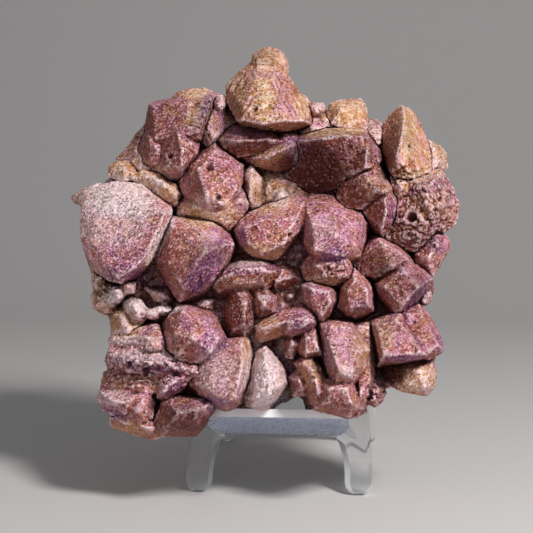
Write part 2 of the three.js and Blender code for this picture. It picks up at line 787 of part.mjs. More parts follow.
function toSolid(geometry) {
  geometry.deleteAttribute("normal");
  geometry.deleteAttribute("uv");
  const merged = mergeVertices(geometry);
  const vertProperties = new Float32Array(merged.attributes.position.array);
  const triVerts = new Uint32Array(merged.index.array);
  return new wasm.Manifold(new wasm.Mesh({ numProp: 3, vertProperties, triVerts }));
}

function toGeometry(solid) {
  const mesh = solid.getMesh();
  const geometry = new THREE.BufferGeometry();
  geometry.setAttribute("position", new THREE.BufferAttribute(mesh.vertProperties, 3));
  geometry.setIndex(new THREE.BufferAttribute(mesh.triVerts, 1));
  return geometry;
}

function hull(points) {
  return toSolid(new ConvexGeometry(points));
}

function join(solids) {
  return solids.reduce((whole, solid) => whole.add(solid));
}

function largestPiece(solid) {
  const pieces = solid.decompose();
  return pieces.reduce((best, piece) => (piece.volume() > best.volume() ? piece : best));
}

// a crystal's corners; grow moves them out from its middle, forward, and its root back
function crystalPoints({ rim, peaks, root = ROOT_DEPTH, taper = ROOT_TAPER }, grow = 0) {
  const middle = [0, 1].map((axis) => rim.reduce((sum, point) => sum + point[axis], 0) / rim.length);
  const rootCorners = rim.filter((_, i) => i % Math.ceil(rim.length / ROOT_CORNERS) === 0);
  const place = (x, y, share, spread, out) => {
    const [fromX, fromY] = [x - middle[0], y - middle[1]];
    const wider = share + (spread + grow) / UNIT / Math.hypot(fromX, fromY);
    return at(middle[0] + fromX * wider, middle[1] + fromY * wider, out);
  };
  const rootCorner = ([x, y, out]) =>
    out < INNER_RIM ? place(x, y, taper, 0, root - grow) : place(x, y, 1, ROOT_FLARE, root - grow);
  return [
    ...rim.map(([x, y, out]) => place(x, y, 1, 0, out + grow)),
    ...peaks.map(([x, y, out]) => place(x, y, 1, 0, out + grow)),
    ...rootCorners.map(rootCorner),
  ];
}

// a smooth, repeatable unevenness between -1 and 1
function unevenness(point) {
  const coarse = Math.sin(point.x * 0.21 + 1.3) * Math.sin(point.z * 0.19 + 0.4 + point.y * 0.11);
  const fine = Math.sin(point.x * 0.53 + point.z * 0.31) * Math.sin(point.z * 0.47 - point.x * 0.2 + 2);
  return 0.6 * coarse + 0.4 * fine;
}

function lumpPoints([x, y, out, halfWidth, halfHeight, halfDepth]) {
  const ball = new THREE.IcosahedronGeometry(1, LUMP_DETAIL).attributes.position;
  const points = [];
  for (let i = 0; i < ball.count; i += 1) {
    const [across, up, deep] = [ball.getX(i), ball.getY(i), ball.getZ(i)];
    const swell = 1 + 0.12 * Math.sin(5 * across + x) * Math.cos(4 * up + y);
    const depth = deep > 0 ? deep * halfDepth : deep * (out - LUMP_ROOT);
    points.push(at(x + across * halfWidth * swell, y + up * halfHeight * swell, out + depth));
  }
  return points;
}

// a closed skin over rings of points, with a point at each end, turned to face outwards
function skin(rings, start, end) {
  const steps = rings[0].length;
  const points = [start, ...rings.flat(), end];
  const faces = [];
  const place = (ring, step) => 1 + ring * steps + (step % steps);
  for (let step = 0; step < steps; step += 1) {
    faces.push(0, place(0, step + 1), place(0, step));
    for (let ring = 0; ring < rings.length - 1; ring += 1) {
      const [a, b] = [place(ring, step), place(ring, step + 1)];
      const [c, d] = [place(ring + 1, step + 1), place(ring + 1, step)];
      faces.push(a, b, c, a, c, d);
    }
    faces.push(points.length - 1, place(rings.length - 1, step), place(rings.length - 1, step + 1));
  }
  const geometry = new THREE.BufferGeometry().setFromPoints(points);
  geometry.setIndex(faces);
  const solid = toSolid(geometry);
  if (solid.volume() > 0) return solid;
  geometry.setIndex(faces.reverse());
  return toSolid(geometry);
}

function matrixPlate(grow = 0) {
  const [centreX, centreY] = MATRIX_CENTRE;
  const corners = MATRIX_OUTLINE.map(([x, y]) => new THREE.Vector3(x, y, 0));
  const outline = new THREE.CatmullRomCurve3(corners, true, "centripetal").getPoints(MATRIX_STEPS);
  const thickness = MATRIX_RINGS.at(-1)[1];
  // the inner rings lose the outline's own bays and corners
  const place = ([ringShare, out], { x, y }, step) => {
    const share = step % 2 ? ringShare * (1 - MATRIX_STAGGER * (1 - ringShare ** 4)) : ringShare;
    const reach = Math.hypot(x - centreX, y - centreY) || 1;
    const evened = (share * THREE.MathUtils.lerp(MATRIX_REACH, reach, share ** 2)) / reach;
    const wider = evened + (grow * share) / UNIT / reach;
    const deeper = out > thickness / 3 ? out + grow : out - grow;
    const plain = at(centreX + (x - centreX) * evened, centreY + (y - centreY) * evened, out);
    const point = at(centreX + (x - centreX) * wider, centreY + (y - centreY) * wider, deeper);
    return point.addScaledVector(OUT, MATRIX_ROUGHNESS * unevenness(plain));
  };
  const rings = MATRIX_RINGS.map((ring) =>
    outline.slice(0, MATRIX_STEPS).map((corner, step) => place(ring, corner, step)));
  const middle = new THREE.Vector3(centreX, centreY, 0);
  return skin(rings, place([0, MATRIX_RINGS[0][1]], middle, 0), place([0, thickness], middle, 0));
}

// ---- the easel ----

const LEG_HALF_WIDTH = 35; // from the middle to a leg's outer edge, at the tongue's root
const LEG_TAPER = 0.085; // the outer edges come in by this much per mm of height
const ROOT_HALF_WIDTH = 21.4; // half the tongue's root
const CUT_HALF_WIDTH = 25; // half the tongue's free end, on the sheet's front
const CUT_ROUND = 16; // the cut widens over this length
const FOOT_ROUND = 4.6;
const FOOT_CUT = 0.6; // cut off under each foot, so that it stands flat
const KERF = 0.3; // what the cutter took away between tongue and legs

const BEND_TOP = SHEET + TONGUE_BEND_RADIUS; // how far up the face the tongue's bend starts
const LEG_STATIONS = [
  -BEND_TOP - 3, 0, 2.4, 4.8, 7.4, 10, 13, CUT_ROUND, LEG_LENGTH - FOOT_ROUND + 0.2,
  LEG_LENGTH - 3, LEG_LENGTH - 1.7, LEG_LENGTH - 0.7, LEG_LENGTH,
];
const FOOT_PLANE = onFace(0, -LEG_LENGTH, -SHEET).z + FOOT_CUT;

// half the cut's width on the sheet's front, a distance from the tongue's root
function cutHalfWidth(distance) {
  const share = Math.min(distance / CUT_ROUND, 1);
  return ROOT_HALF_WIDTH + (CUT_HALF_WIDTH - ROOT_HALF_WIDTH) * (1 - (1 - share) ** 2);
}

// a strip of sheet along stations: { middle, across: [front left, front right, back right,
// back left], normal }, where middle lies on the sheet's front
function strip(stations) {
  const rings = stations.map(({ front, normal, across }) =>
    across.map((x, corner) => {
      const point = front.clone().setX(x);
      return corner < 2 ? point : point.addScaledVector(normal, -SHEET);
    }));
  const centre = (ring) => ring.reduce((sum, p) => sum.add(p), new THREE.Vector3()).divideScalar(4);
  return skin(rings, centre(rings[0]), centre(rings.at(-1)));
}

function legStrip(side, place, normal) {
  const stations = [];
  for (const down of LEG_STATIONS) {
    const outer = LEG_HALF_WIDTH + LEG_TAPER * Math.min(down, 6);
    const inner = cutHalfWidth(Math.max(down, 0)) + KERF;
    const intoRound = Math.max(0, down - (LEG_LENGTH + 0.2 - FOOT_ROUND)) / FOOT_ROUND;
    const tuck = FOOT_ROUND * (1 - Math.sqrt(1 - intoRound ** 2));
    const bevel = Math.min(CUT_BEVEL, Math.max(0, down) * 2);
    const edges = [inner + tuck, outer - tuck, outer - tuck, inner + bevel + tuck];
    const across = side > 0 ? edges : [-edges[1], -edges[0], -edges[3], -edges[2]];
    stations.push({ front: place(down), normal, across });
  }
  return strip(stations);
}

function easel() {
  const halfAt = (up) => LEG_HALF_WIDTH - LEG_TAPER * Math.max(up, 0);
  const foldStart = onFace(0, FACE_LENGTH, 0);
  const rearNormal = new THREE.Vector3(0, Math.cos(REAR_LEAN), Math.sin(REAR_LEAN));
  const rearDown = new THREE.Vector3(0, Math.sin(REAR_LEAN), -Math.cos(REAR_LEAN));
  const foldCentre = foldStart.clone().addScaledVector(OUT, -SHEET - FOLD_RADIUS);
  const topHalf = halfAt(FACE_LENGTH);

  // face, fold and rear half, as one bent strip; the sheet's front is the outside of the fold
  const stations = [];
  for (const up of [BEND_TOP, FACE_LENGTH]) {
    const half = halfAt(up);
    stations.push({ front: onFace(0, up, 0), normal: OUT, across: [-half, half, half, -half] });
  }
  const foldAngle = Math.PI - LEAN - REAR_LEAN;
  const foldSteps = 10;
  const bend = (angle) => OUT.clone().multiplyScalar(Math.cos(angle)).addScaledVector(UP, Math.sin(angle));
  for (let step = 1; step <= foldSteps; step += 1) {
    const normal = bend((foldAngle * step) / foldSteps);
    const front = foldCentre.clone().addScaledVector(normal, SHEET + FOLD_RADIUS);
    stations.push({ front, normal, across: [-topHalf, topHalf, topHalf, -topHalf] });
  }
  const foldEnd = stations.at(-1).front;
  const rearDrop = foldEnd.z - FOOT_PLANE + FOOT_CUT - SHEET * Math.sin(REAR_LEAN);
  const rearFace = rearDrop / Math.cos(REAR_LEAN) - LEG_LENGTH;
  const rear = foldEnd.clone().addScaledVector(rearDown, rearFace);
  stations.push({
    front: rear,
    normal: rearNormal,
    across: [-LEG_HALF_WIDTH, LEG_HALF_WIDTH, LEG_HALF_WIDTH, -LEG_HALF_WIDTH],
  });

  // the tongue: down from the face, round its bend, then forward
  const tongue = [];
  const tongueBack = (distance) => cutHalfWidth(distance) + Math.min(CUT_BEVEL, distance * 2);
  const addTongue = (front, normal, distance) => {
    const [half, back] = [cutHalfWidth(distance), tongueBack(distance)];
    tongue.push({ front, normal, across: [-half, half, back, -back] });
  };
  addTongue(onFace(0, BEND_TOP + 3, 0), OUT, 0);
  const bendCentre = onFace(0, BEND_TOP, TONGUE_BEND_RADIUS);
  for (let step = 0; step <= 6; step += 1) {
    const angle = (Math.PI / 2) * (step / 6);
    const normal = OUT.clone().multiplyScalar(Math.cos(angle)).addScaledVector(UP, Math.sin(angle));
    const front = bendCentre.clone().addScaledVector(normal, -TONGUE_BEND_RADIUS);
    addTongue(front, normal, 0.8 * (step / 6));
  }
  for (const distance of [2.4, 4.8, 7.4, 10, 13, CUT_ROUND, TONGUE_LENGTH]) {
    addTongue(onFace(0, SHEET, distance), UP, distance - TONGUE_BEND_RADIUS);
  }

  const parts = [strip(stations), strip(tongue)];
  for (const side of [-1, 1]) {
    parts.push(legStrip(side, (down) => onFace(0, -down, 0), OUT));
    parts.push(legStrip(side, (down) => rear.clone().addScaledVector(rearDown, down), rearNormal));
  }
  const underFeet = new THREE.BoxGeometry(300, 300, 40);
  underFeet.translate(0, 0, FOOT_PLANE - 20);
  return join(parts).subtract(toSolid(underFeet));
}

// a block given by its corners on the easel's own axes
function faceBlock([across0, across1], [up0, up1], [out0, out1]) {
  const points = [];
  for (const across of [across0, across1]) {
    for (const up of [up0, up1]) {
      for (const out of [out0, out1]) {
        points.push(onFace(across, up, out));
      }
    }
  }
  return hull(points);
}

// the room that the specimen leaves round the tongue, its bend and the face
function easelRoom() {
  const half = CUT_HALF_WIDTH + CUT_BEVEL + CLEARANCE;
  const overTongue = SHEET + CLEARANCE;
  return [
    faceBlock([-half, half], [-CLEARANCE, overTongue], [-SHEET, TONGUE_LENGTH + CLEARANCE]),
    faceBlock([-half, half], [0, overTongue + TONGUE_BEND_RADIUS], [-SHEET, TONGUE_BEND_RADIUS + CLEARANCE]),
    faceBlock([-SPECIMEN_WIDTH, SPECIMEN_WIDTH], [-100, 200], [-60, CLEARANCE]),
  ];
}

// ---- assembly ----

const MATERIALS = {
  rose: new THREE.MeshStandardMaterial({ color: 0xa0746c, roughness: 0.8, metalness: 0 }),
  dark: new THREE.MeshStandardMaterial({ color: 0x7a5048, roughness: 0.8, metalness: 0 }),
  tan: new THREE.MeshStandardMaterial({ color: 0xb08d6c, roughness: 0.85, metalness: 0 }),
  rock: new THREE.MeshStandardMaterial({ color: 0x94705c, roughness: 0.95, metalness: 0 }),
  clear: new THREE.MeshStandardMaterial({ color: 0xdfe6ee, roughness: 0.08, metalness: 0 }),
};
const NODE_MATERIAL = {
  apex_crystal: "tan",
  top_block: "tan",
  left_shoulder_crystals: "tan",
  right_tall_crystal: "tan",
  upper_dark_crystals: "dark",
  upper_right_crystals: "dark",
  inner_crystals: "dark",
};

const object = new THREE.Group();

function addNode(name, solid, material) {
  const mesh = new THREE.Mesh(toGeometry(solid), MATERIALS[material]);
  mesh.name = name;
  object.add(mesh);
}

// each group is cut clear of the easel, the rock's plate and the groups before it, and what
// else grows from the rock is cut clear of them all
const taken = [...easelRoom(), matrixPlate(SOCKET)];
const cutClear = (solid, blocks) => blocks.reduce((rest, block) => rest.subtract(block), solid);
for (const [name, crystals] of Object.entries(CRYSTALS)) {
  const members = Object.values(crystals);
  const solid = join(members.map((crystal) => hull(crystalPoints(crystal))));
  addNode(name, largestPiece(cutClear(solid, taken)), NODE_MATERIAL[name] ?? "rose");
  taken.push(...members.map((crystal) => hull(crystalPoints(crystal, SOCKET))));
}
const growths = Object.values(SMALL_CRYSTALS).map((crystal) => hull(crystalPoints(crystal)));
const lumps = Object.values(LUMPS).map((lump) => hull(lumpPoints(lump)));
const crystalRoom = taken.slice(easelRoom().length + 1);
const rough = cutClear(join([...growths, ...lumps]), crystalRoom);
const matrix = cutClear(matrixPlate().add(rough), easelRoom());
addNode("matrix", largestPiece(matrix), "rock");
addNode("easel", easel(), "clear");

// the origin is under the middle of the whole, on the surface it stands on
const box = new THREE.Box3().setFromObject(object);
const middle = box.getCenter(new THREE.Vector3());
object.position.set(-middle.x, -middle.y, -box.min.z);

export default object;
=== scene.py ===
import math

import bmesh
import bpy
import numpy as np
from mathutils import Matrix, Vector
from mathutils.bvhtree import BVHTree


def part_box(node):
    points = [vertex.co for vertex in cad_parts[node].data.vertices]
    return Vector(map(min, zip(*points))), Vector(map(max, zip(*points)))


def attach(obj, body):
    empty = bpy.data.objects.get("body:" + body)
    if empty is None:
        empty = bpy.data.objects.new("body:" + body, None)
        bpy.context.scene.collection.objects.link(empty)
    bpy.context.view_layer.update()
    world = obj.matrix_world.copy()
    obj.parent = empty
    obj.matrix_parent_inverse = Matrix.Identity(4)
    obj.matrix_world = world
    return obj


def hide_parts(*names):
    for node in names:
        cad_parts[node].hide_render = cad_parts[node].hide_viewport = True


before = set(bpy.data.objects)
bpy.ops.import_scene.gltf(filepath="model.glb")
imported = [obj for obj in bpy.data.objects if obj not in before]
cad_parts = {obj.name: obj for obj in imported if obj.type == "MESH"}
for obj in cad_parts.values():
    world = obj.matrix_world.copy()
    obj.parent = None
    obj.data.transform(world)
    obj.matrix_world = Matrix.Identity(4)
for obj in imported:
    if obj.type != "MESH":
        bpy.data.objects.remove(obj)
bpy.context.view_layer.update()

bl_info = {
    "name": "Crystal specimen on a clear easel",
    "version": (1, 0, 0),
    "blender": (4, 5, 0),
    "location": "3D View > Sidebar > Specimen",
    "description": "Coated calcite crystals on matrix, held by a folded clear easel",
    "category": "Object",
}

MM = 0.001
BODY = "root"

# ---------------------------------------------------------------- the front view
# Marks on the crystals are placed in the same front view as the solids: 533 units wide,
# y down, seen from an eye in front of the specimen. Depth is mm in front of the easel's face.

SPECIMEN_WIDTH = 148.0  # mm, across the crystals
DRAWN_WIDTH = 385.0  # the same in drawing units
UNIT = SPECIMEN_WIDTH / DRAWN_WIDTH
DRAWING_CENTRE = 266.5
DRAWING_AT = (-5.5, 3.0, 65.2)  # mm, the drawing's centre from the tongue's root
EYE_DISTANCE = 560.0
EYE_TURN = math.radians(5)
EYE_RISE = math.radians(5)
LEAN = math.radians(27)  # the easel's face, back from upright
SHEET = 3.2
LEG_LENGTH = 22.1  # from the tongue's root down to the foot's end
FOOT_CUT = 0.6  # cut off under each foot
TONGUE_LENGTH = 25.0
ROOT_HEIGHT = LEG_LENGTH * math.cos(LEAN) + SHEET * math.sin(LEAN) - FOOT_CUT

EASEL_LOW, EASEL_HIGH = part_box("easel")
TONGUE_ROOT = np.array((
    (EASEL_LOW[0] + EASEL_HIGH[0]) / 2 / MM,
    EASEL_LOW[1] / MM + TONGUE_LENGTH * math.cos(LEAN),
    ROOT_HEIGHT,
))
RIGHT = np.array((math.cos(EYE_TURN), math.sin(EYE_TURN), 0.0))
TO_EYE = np.array((
    math.sin(EYE_TURN) * math.cos(EYE_RISE),
    -math.cos(EYE_TURN) * math.cos(EYE_RISE),
    math.sin(EYE_RISE),
))
ABOVE = np.cross(TO_EYE, RIGHT)
EYE = TONGUE_ROOT + np.array(DRAWING_AT) + TO_EYE * EYE_DISTANCE
OUT = np.array((0.0, -math.cos(LEAN), math.sin(LEAN)))
UP = np.array((0.0, math.sin(LEAN), math.cos(LEAN)))


def drawn(points):
    """Where points, in mm, lie in the front view: x, y and depth."""
    ray = points - EYE
    share = EYE_DISTANCE / -(ray @ TO_EYE)
    x = DRAWING_CENTRE + (ray @ RIGHT) * share / UNIT
    y = DRAWING_CENTRE - (ray @ ABOVE) * share / UNIT
    return x, y, (points - TONGUE_ROOT) @ OUT


# ---------------------------------------------------------------- noise

_directions = np.random.RandomState(7).normal(size=(256, 3))
DIRECTIONS = _directions / np.linalg.norm(_directions, axis=1)[:, None]
CORNERS = [(x, y, z) for x in (0, 1) for y in (0, 1) for z in (0, 1)]
NEIGHBOURS = [(x, y, z) for x in (-1, 0, 1) for y in (-1, 0, 1) for z in (-1, 0, 1)]


def scrambled(cell, seed):
    """A repeatable whole number for each cell of a grid."""
    x, y, z = (cell[:, axis].astype(np.uint64) for axis in range(3))
    mixed = (x * np.uint64(73856093)) ^ (y * np.uint64(19349663)) ^ (z * np.uint64(83492791))
    mixed ^= np.uint64(seed * 2654435761 % 4294967296)
    mixed = (mixed ^ (mixed >> np.uint64(13))) * np.uint64(1540483477)
    return (mixed ^ (mixed >> np.uint64(15))) & np.uint64(4294967295)


def noise(points, size, seed=0):
    """Smooth noise from about -1 to 1, with features about size mm long."""
    spot = points / size + seed * 17.31
    cell = np.floor(spot).astype(np.int64)
    part = spot - cell
    fade = part ** 3 * (part * (part * 6 - 15) + 10)
    total = np.zeros(len(points))
    for corner in CORNERS:
        lean = DIRECTIONS[(scrambled(cell + corner, seed) & np.uint64(255)).astype(np.int64)]
        weight = np.prod(np.where(corner, fade, 1 - fade), axis=1)
        total += weight * ((part - corner) * lean).sum(axis=1)
    return total * 1.6


def grains(points, size, seed=0, jitter=0.9):
    """The distances to the nearest and second nearest of scattered seeds, and the first one's number."""
    spot = points / size
    cell = np.floor(spot).astype(np.int64)
    nearest = np.full(len(points), 9.0)
    second = np.full(len(points), 9.0)
    number = np.zeros(len(points))
    for step in NEIGHBOURS:
        place = cell + step
        code = scrambled(place, seed)
        shift = np.stack([(code >> np.uint64(bits)) & np.uint64(1023) for bits in (0, 10, 20)], axis=1)
        seeded = place + 0.5 + jitter * (shift / 1023.0 - 0.5)
        away = np.linalg.norm(spot - seeded, axis=1)
        closer = away < nearest
        second = np.where(closer, nearest, np.minimum(second, away))
        nearest = np.where(closer, away, nearest)
        number = np.where(closer, ((code >> np.uint64(7)) & np.uint64(4095)) / 4095.0, number)
    return nearest, second, number


def ramp(value, low, high):
    """0 below low, 1 above high, and a smooth rise between them."""
    part = np.clip((value - low) / (high - low), 0, 1)
    return part * part * (3 - 2 * part)


# ---------------------------------------------------------------- marks on the crystals
# Each is an ellipse in the front view: centre x, y, half width, half height, turn in degrees
# (clockwise) and strength.

PURPLE = {  # lilac at the rim of a patch, purple and indigo in it
    "stub under the right centre crystal": (334, 255, 15, 9, 0, 1.0),
    "right edge crystal": (436, 244, 8, 9, 0, 0.7),
    "lower block's right edge": (418, 294, 7, 22, 38, 0.9),
    "left centre crystal's tip": (204, 274, 13, 28, 38, 1.0),
    "left centre crystal's right edge": (222, 246, 12, 12, 0, 0.5),
    "six-sided crystal": (211, 345, 16, 13, -20, 0.9),
    "six-sided crystal's top": (184, 320, 6, 12, 20, 0.4),
    "blade's tip": (124, 274, 26, 11, 8, 0.8),
    "blade's middle": (120, 252, 28, 12, 0, 0.35),
    "banded lens": (245, 270, 34, 5, -5, 0.8),
    "right inner crystal": (359, 305, 9, 6, 0, 0.8),
    "purple prism": (300, 322, 17, 10, -20, 0.7),
    "third step": (391, 212, 7, 16, 0, 0.6),
    "broad block's edge": (206, 106, 5, 20, 22, 0.9),
    "wedge's foot": (217, 402, 16, 5, 8, 0.9),
    "layers": (150, 364, 44, 9, 4, 0.7),
    "white block": (137, 314, 10, 9, 0, 0.5),
    "finger": (172, 386, 14, 10, -25, 0.9),
    "left lobe": (112, 412, 18, 8, 25, 0.7),
    "many-faced crystal's foot": (212, 205, 16, 8, 15, 0.7),
    "low block's right end": (243, 202, 9, 14, 0, 0.5),
    "far block's edge": (441, 345, 6, 14, -12, 0.7),
    "near block's foot": (402, 358, 24, 4, 0, 0.9),
    "lenses' meeting": (296, 146, 12, 12, 0, 0.8),
    "left lens": (244, 131, 18, 5, 5, 0.6),
    "wide crystal's left corner": (298, 146, 10, 10, 0, 0.6),
    "apex's right side": (284, 95, 6, 28, -22, 0.4),
    "apex's upper face": (262, 74, 14, 6, 0, 0.35),
    "great tooth's left edge": (328, 352, 7, 24, -8, 0.4),
    "centre crystal's left edge": (243, 233, 7, 12, 0, 0.6),
    "right centre crystal": (334, 228, 30, 22, 0, 0.25),
    "five-sided crystal": (313, 290, 10, 6, 0, 0.6),
    "purple chip": (166, 294, 9, 8, 0, 0.8),
    "shaded block": (432, 392, 12, 5, 10, 0.4),
    "porous mass": (430, 184, 22, 8, -20, 0.5),
}
OCHRE = {  # iron-stained places, from ochre to cream
    "apex's front": (264, 98, 13, 28, -8, 1.0),
    "apex's left side": (238, 92, 13, 24, -20, 0.8),
    "cap": (269, 62, 20, 16, 0, 0.8),
    "apex's right end": (302, 108, 8, 14, 0, 0.9),
    "top block": (347, 114, 24, 18, 0, 1.0),
    "top ledge": (196, 93, 20, 6, -8, 1.0),
    "broad block's right face": (198, 114, 10, 18, 25, 0.9),
    "tall tooth's right face": (407, 132, 11, 30, -8, 1.0),
    "right nugget": (438, 158, 12, 22, 0, 1.0),
    "left shoulder": (140, 176, 34, 16, 12, 0.8),
    "tan prism": (168, 192, 16, 12, 30, 0.9),
    "low block": (208, 212, 34, 16, 0, 1.0),
    "wide crystal's top edge": (330, 132, 44, 5, -3, 0.9),
    "porous mass's top": (418, 178, 28, 12, -20, 0.9),
    "porous mass": (430, 204, 24, 20, 0, 0.45),
    "stub's foot": (325, 280, 22, 6, 0, 0.7),
    "spur": (84, 197, 18, 10, 0, 0.6),
    "tan blades": (268, 194, 28, 20, 0, 0.9),
    "lens's lower side": (240, 284, 28, 6, 0, 0.35),
    "right lens": (270, 158, 28, 8, -30, 0.7),
    "left knob": (100, 290, 20, 28, 0, 0.7),
    "left saddle": (124, 324, 18, 18, 0, 1.0),
    "ochre knob": (128, 287, 9, 9, 0, 1.0),
    "tan lens": (268, 330, 16, 15, 0, 0.8),
    "tan post": (314, 372, 18, 16, 0, 0.7),
    "rear plate": (366, 345, 12, 30, 0, 0.6),
    "shaded block's face": (418, 378, 24, 18, 0, 1.0),
    "centre crystal's foot": (262, 252, 22, 9, 0, 0.7),
    "right centre crystal's foot": (322, 250, 10, 8, 0, 0.4),
    "wedge's right side": (247, 352, 7, 20, 0, 0.8),
    "near block's left side": (384, 338, 10, 18, 0, 0.5),
    "second step": (378, 186, 14, 12, 0, 0.4),
    "bottom ledge": (126, 428, 24, 9, 12, 0.8),
    "lower layer": (140, 384, 40, 10, 0, 0.4),
    "blade's right side": (162, 236, 7, 28, 30, 0.3),
}
DUST = {  # a fine white bloom, and painted highlights on a few lit edges
    "blade's top": (120, 200, 40, 24, 10, 1.0),
    "blade's left side": (96, 222, 20, 26, 0, 0.5),
    "left centre crystal's front": (206, 236, 12, 7, 20, 0.3),
    "blade's middle": (116, 228, 34, 20, 0, 0.4),
    # painted highlights: the next three marks whiten lit edges and a lit rim
    "blade's right edge": (162, 236, 6, 32, 28, 0.9),
    "right lens's rim": (296, 160, 2.5, 11, 24, 1.0),
    "tan prism's upper edge": (160, 182, 20, 4, 32, 0.4),
    "right lens's end": (293, 152, 4, 4, 0, 0.5),
    "wedge": (218, 372, 24, 26, 0, 0.4),
    "layers": (144, 356, 40, 8, 3, 0.55),
    "left lobe": (114, 398, 18, 9, 0, 0.4),
    "shaded block's face": (424, 376, 14, 10, 0, 0.12),
    "banded lens": (246, 263, 26, 4, -4, 0.5),
    "white block": (135, 304, 18, 8, 12, 1.0),
    "white knob": (114, 295, 12, 10, 0, 1.0),
    "trail": (162, 309, 20, 6, -5, 1.0),
    "lip": (122, 341, 16, 4, 2, 0.7),
    "pale crystal's ridge": (266, 362, 7, 18, -8, 1.0),
    "pale crystal": (264, 378, 24, 34, 0, 0.95),
    "shelf": (136, 341, 30, 6, 0, 0.5),
    "great tooth's low face": (348, 372, 10, 9, 0, 0.5),
    "great tooth": (342, 345, 16, 24, 0, 0.15),
    "blade behind": (280, 198, 10, 10, 0, 0.6),
    "right centre crystal": (322, 226, 16, 12, 0, 0.2),
}
COATED_AND_LIT = {  # given the coated colour all over, whichever way they face, so no painted shade on their turned-away side
    "shelf": (138, 340, 34, 14, 0, 1.0),
    "layers": (140, 360, 44, 12, 0, 0.6),
    "pale crystal": (264, 378, 24, 34, 0, 1.0),
    "shoulder and prism": (146, 182, 44, 22, 12, 0.9),
    "low block": (208, 212, 34, 16, 0, 0.8),
    "layers' foot": (136, 384, 40, 10, 0, 0.4),
    "shaded block's face": (420, 378, 20, 16, 0, 0.9),
    "blade": (115, 228, 44, 46, 0, 0.9),
    "left lobe": (114, 400, 20, 12, 0, 0.8),
    "white block": (136, 310, 20, 18, 0, 1.0),
    "knobs": (114, 292, 14, 12, 0, 1.0),
    "wedge": (208, 376, 18, 20, 0, 0.6),
    "five-sided crystal": (315, 298, 18, 20, 0, 0.5),
    "lens's lower side": (245, 280, 30, 9, 0, 0.5),
}
PAINTED_SHADE = {  # painted shade: places painted dark to stand in for shadow and dim light
    "wide crystal's under face": (312, 168, 38, 32, 0, 1.0),
    "wide crystal's right part": (348, 152, 26, 20, 0, 0.45),
    "left lens": (246, 142, 30, 14, 5, 0.45),
    "shaded tooth": (236, 312, 20, 30, 0, 0.25),
    "right middle crystals": (384, 264, 26, 14, 0, 0.6),
    "lower block": (408, 286, 24, 18, 0, 0.55),
    "right inner crystal": (358, 300, 12, 18, 0, 0.35),
    "tall tooth's right face": (408, 136, 9, 26, -8, 0.28),
    "cap": (266, 58, 12, 9, 0, 0.4),
    "apex's left side": (236, 94, 14, 30, -20, 0.2),
    "wide crystal's top": (330, 134, 24, 5, 0, 0.4),
    "recess": (262, 196, 18, 12, 0, 0.35),
    "porous mass": (430, 200, 26, 30, 0, 0.22),
    "shaded block's left part": (392, 373, 17, 11, 0, 0.8),
    "seam between near and far block": (413, 334, 1.6, 22, -33, 0.6),
    "near block": (392, 336, 20, 20, 0, 0.15),
    "far block": (425, 335, 22, 20, 0, 0.2),
    "left centre crystal's right part": (214, 254, 16, 14, 0, 0.55),
    "great tooth's right side": (356, 345, 10, 26, 0, 0.2),
    "right lobe": (184, 418, 34, 18, 0, 0.6),
    "tall tooth's left side": (390, 150, 10, 36, 12, 0.6),
    "second step": (362, 192, 26, 14, 0, 0.4),
    "broad block's face": (166, 118, 24, 22, 0, 0.3),
    "broad block's right face": (200, 116, 12, 22, 22, 0.55),
    "left centre crystal's tip": (196, 284, 16, 16, 0, 0.5),
    "lower porous mass": (414, 232, 26, 18, 0, 0.35),
    "purple band": (196, 272, 14, 24, 38, 0.3),
}
PORES = {  # part-dissolved places, full of pits and furrows
    "upper porous mass": (434, 202, 34, 34, 0, 1.0),
    "lower porous mass": (412, 228, 28, 28, 0, 0.9),
    "broad block's right face": (200, 116, 12, 24, 22, 1.0),
    "pitted tooth": (186, 146, 14, 22, 0, 0.8),
    "stub": (336, 272, 20, 14, 0, 0.9),
    "layers": (148, 368, 50, 24, 0, 1.0),
    "left knob": (106, 286, 14, 16, 0, 0.9),
    "wide crystal's right part": (344, 148, 26, 18, 0, 0.6),
    "tall tooth's foot": (404, 174, 26, 12, 0, 1.0),
    "apex's front": (262, 108, 12, 12, 0, 0.6),
    "right knob": (376, 396, 14, 18, 0, 1.0),
    "tan post": (313, 370, 12, 12, 0, 0.7),
    "centre crystal": (262, 236, 22, 16, 0, 0.35),
    "blade": (124, 222, 36, 34, 0, 0.35),
    "many-faced crystal": (214, 170, 14, 14, 0, 0.4),
}
CRISP = {  # small crystals that stand on the rock
    "left ridge": (222, 122, 24, 28, 0, 1.0),
    "right ridge": (316, 118, 20, 18, 0, 1.0),
    "top right ridge": (376, 132, 14, 14, 0, 1.0),
    "right nugget": (437, 158, 14, 22, 0, 1.0),
    "blades in the recess": (267, 192, 28, 26, 0, 1.0),
    "shoulder": (138, 156, 30, 28, 0, 1.0),
    "spur": (84, 196, 20, 12, 0, 1.0),
    "purple chip": (160, 294, 16, 12, 0, 1.0),
    "pale chip": (204, 307, 16, 13, 0, 1.0),
    "deep chip": (290, 297, 12, 9, 0, 1.0),
    "white block": (136, 312, 18, 16, 0, 0.8),
    "left saddle": (124, 324, 20, 20, 0, 1.0),
    "knobs": (122, 290, 18, 12, 0, 1.0),
}
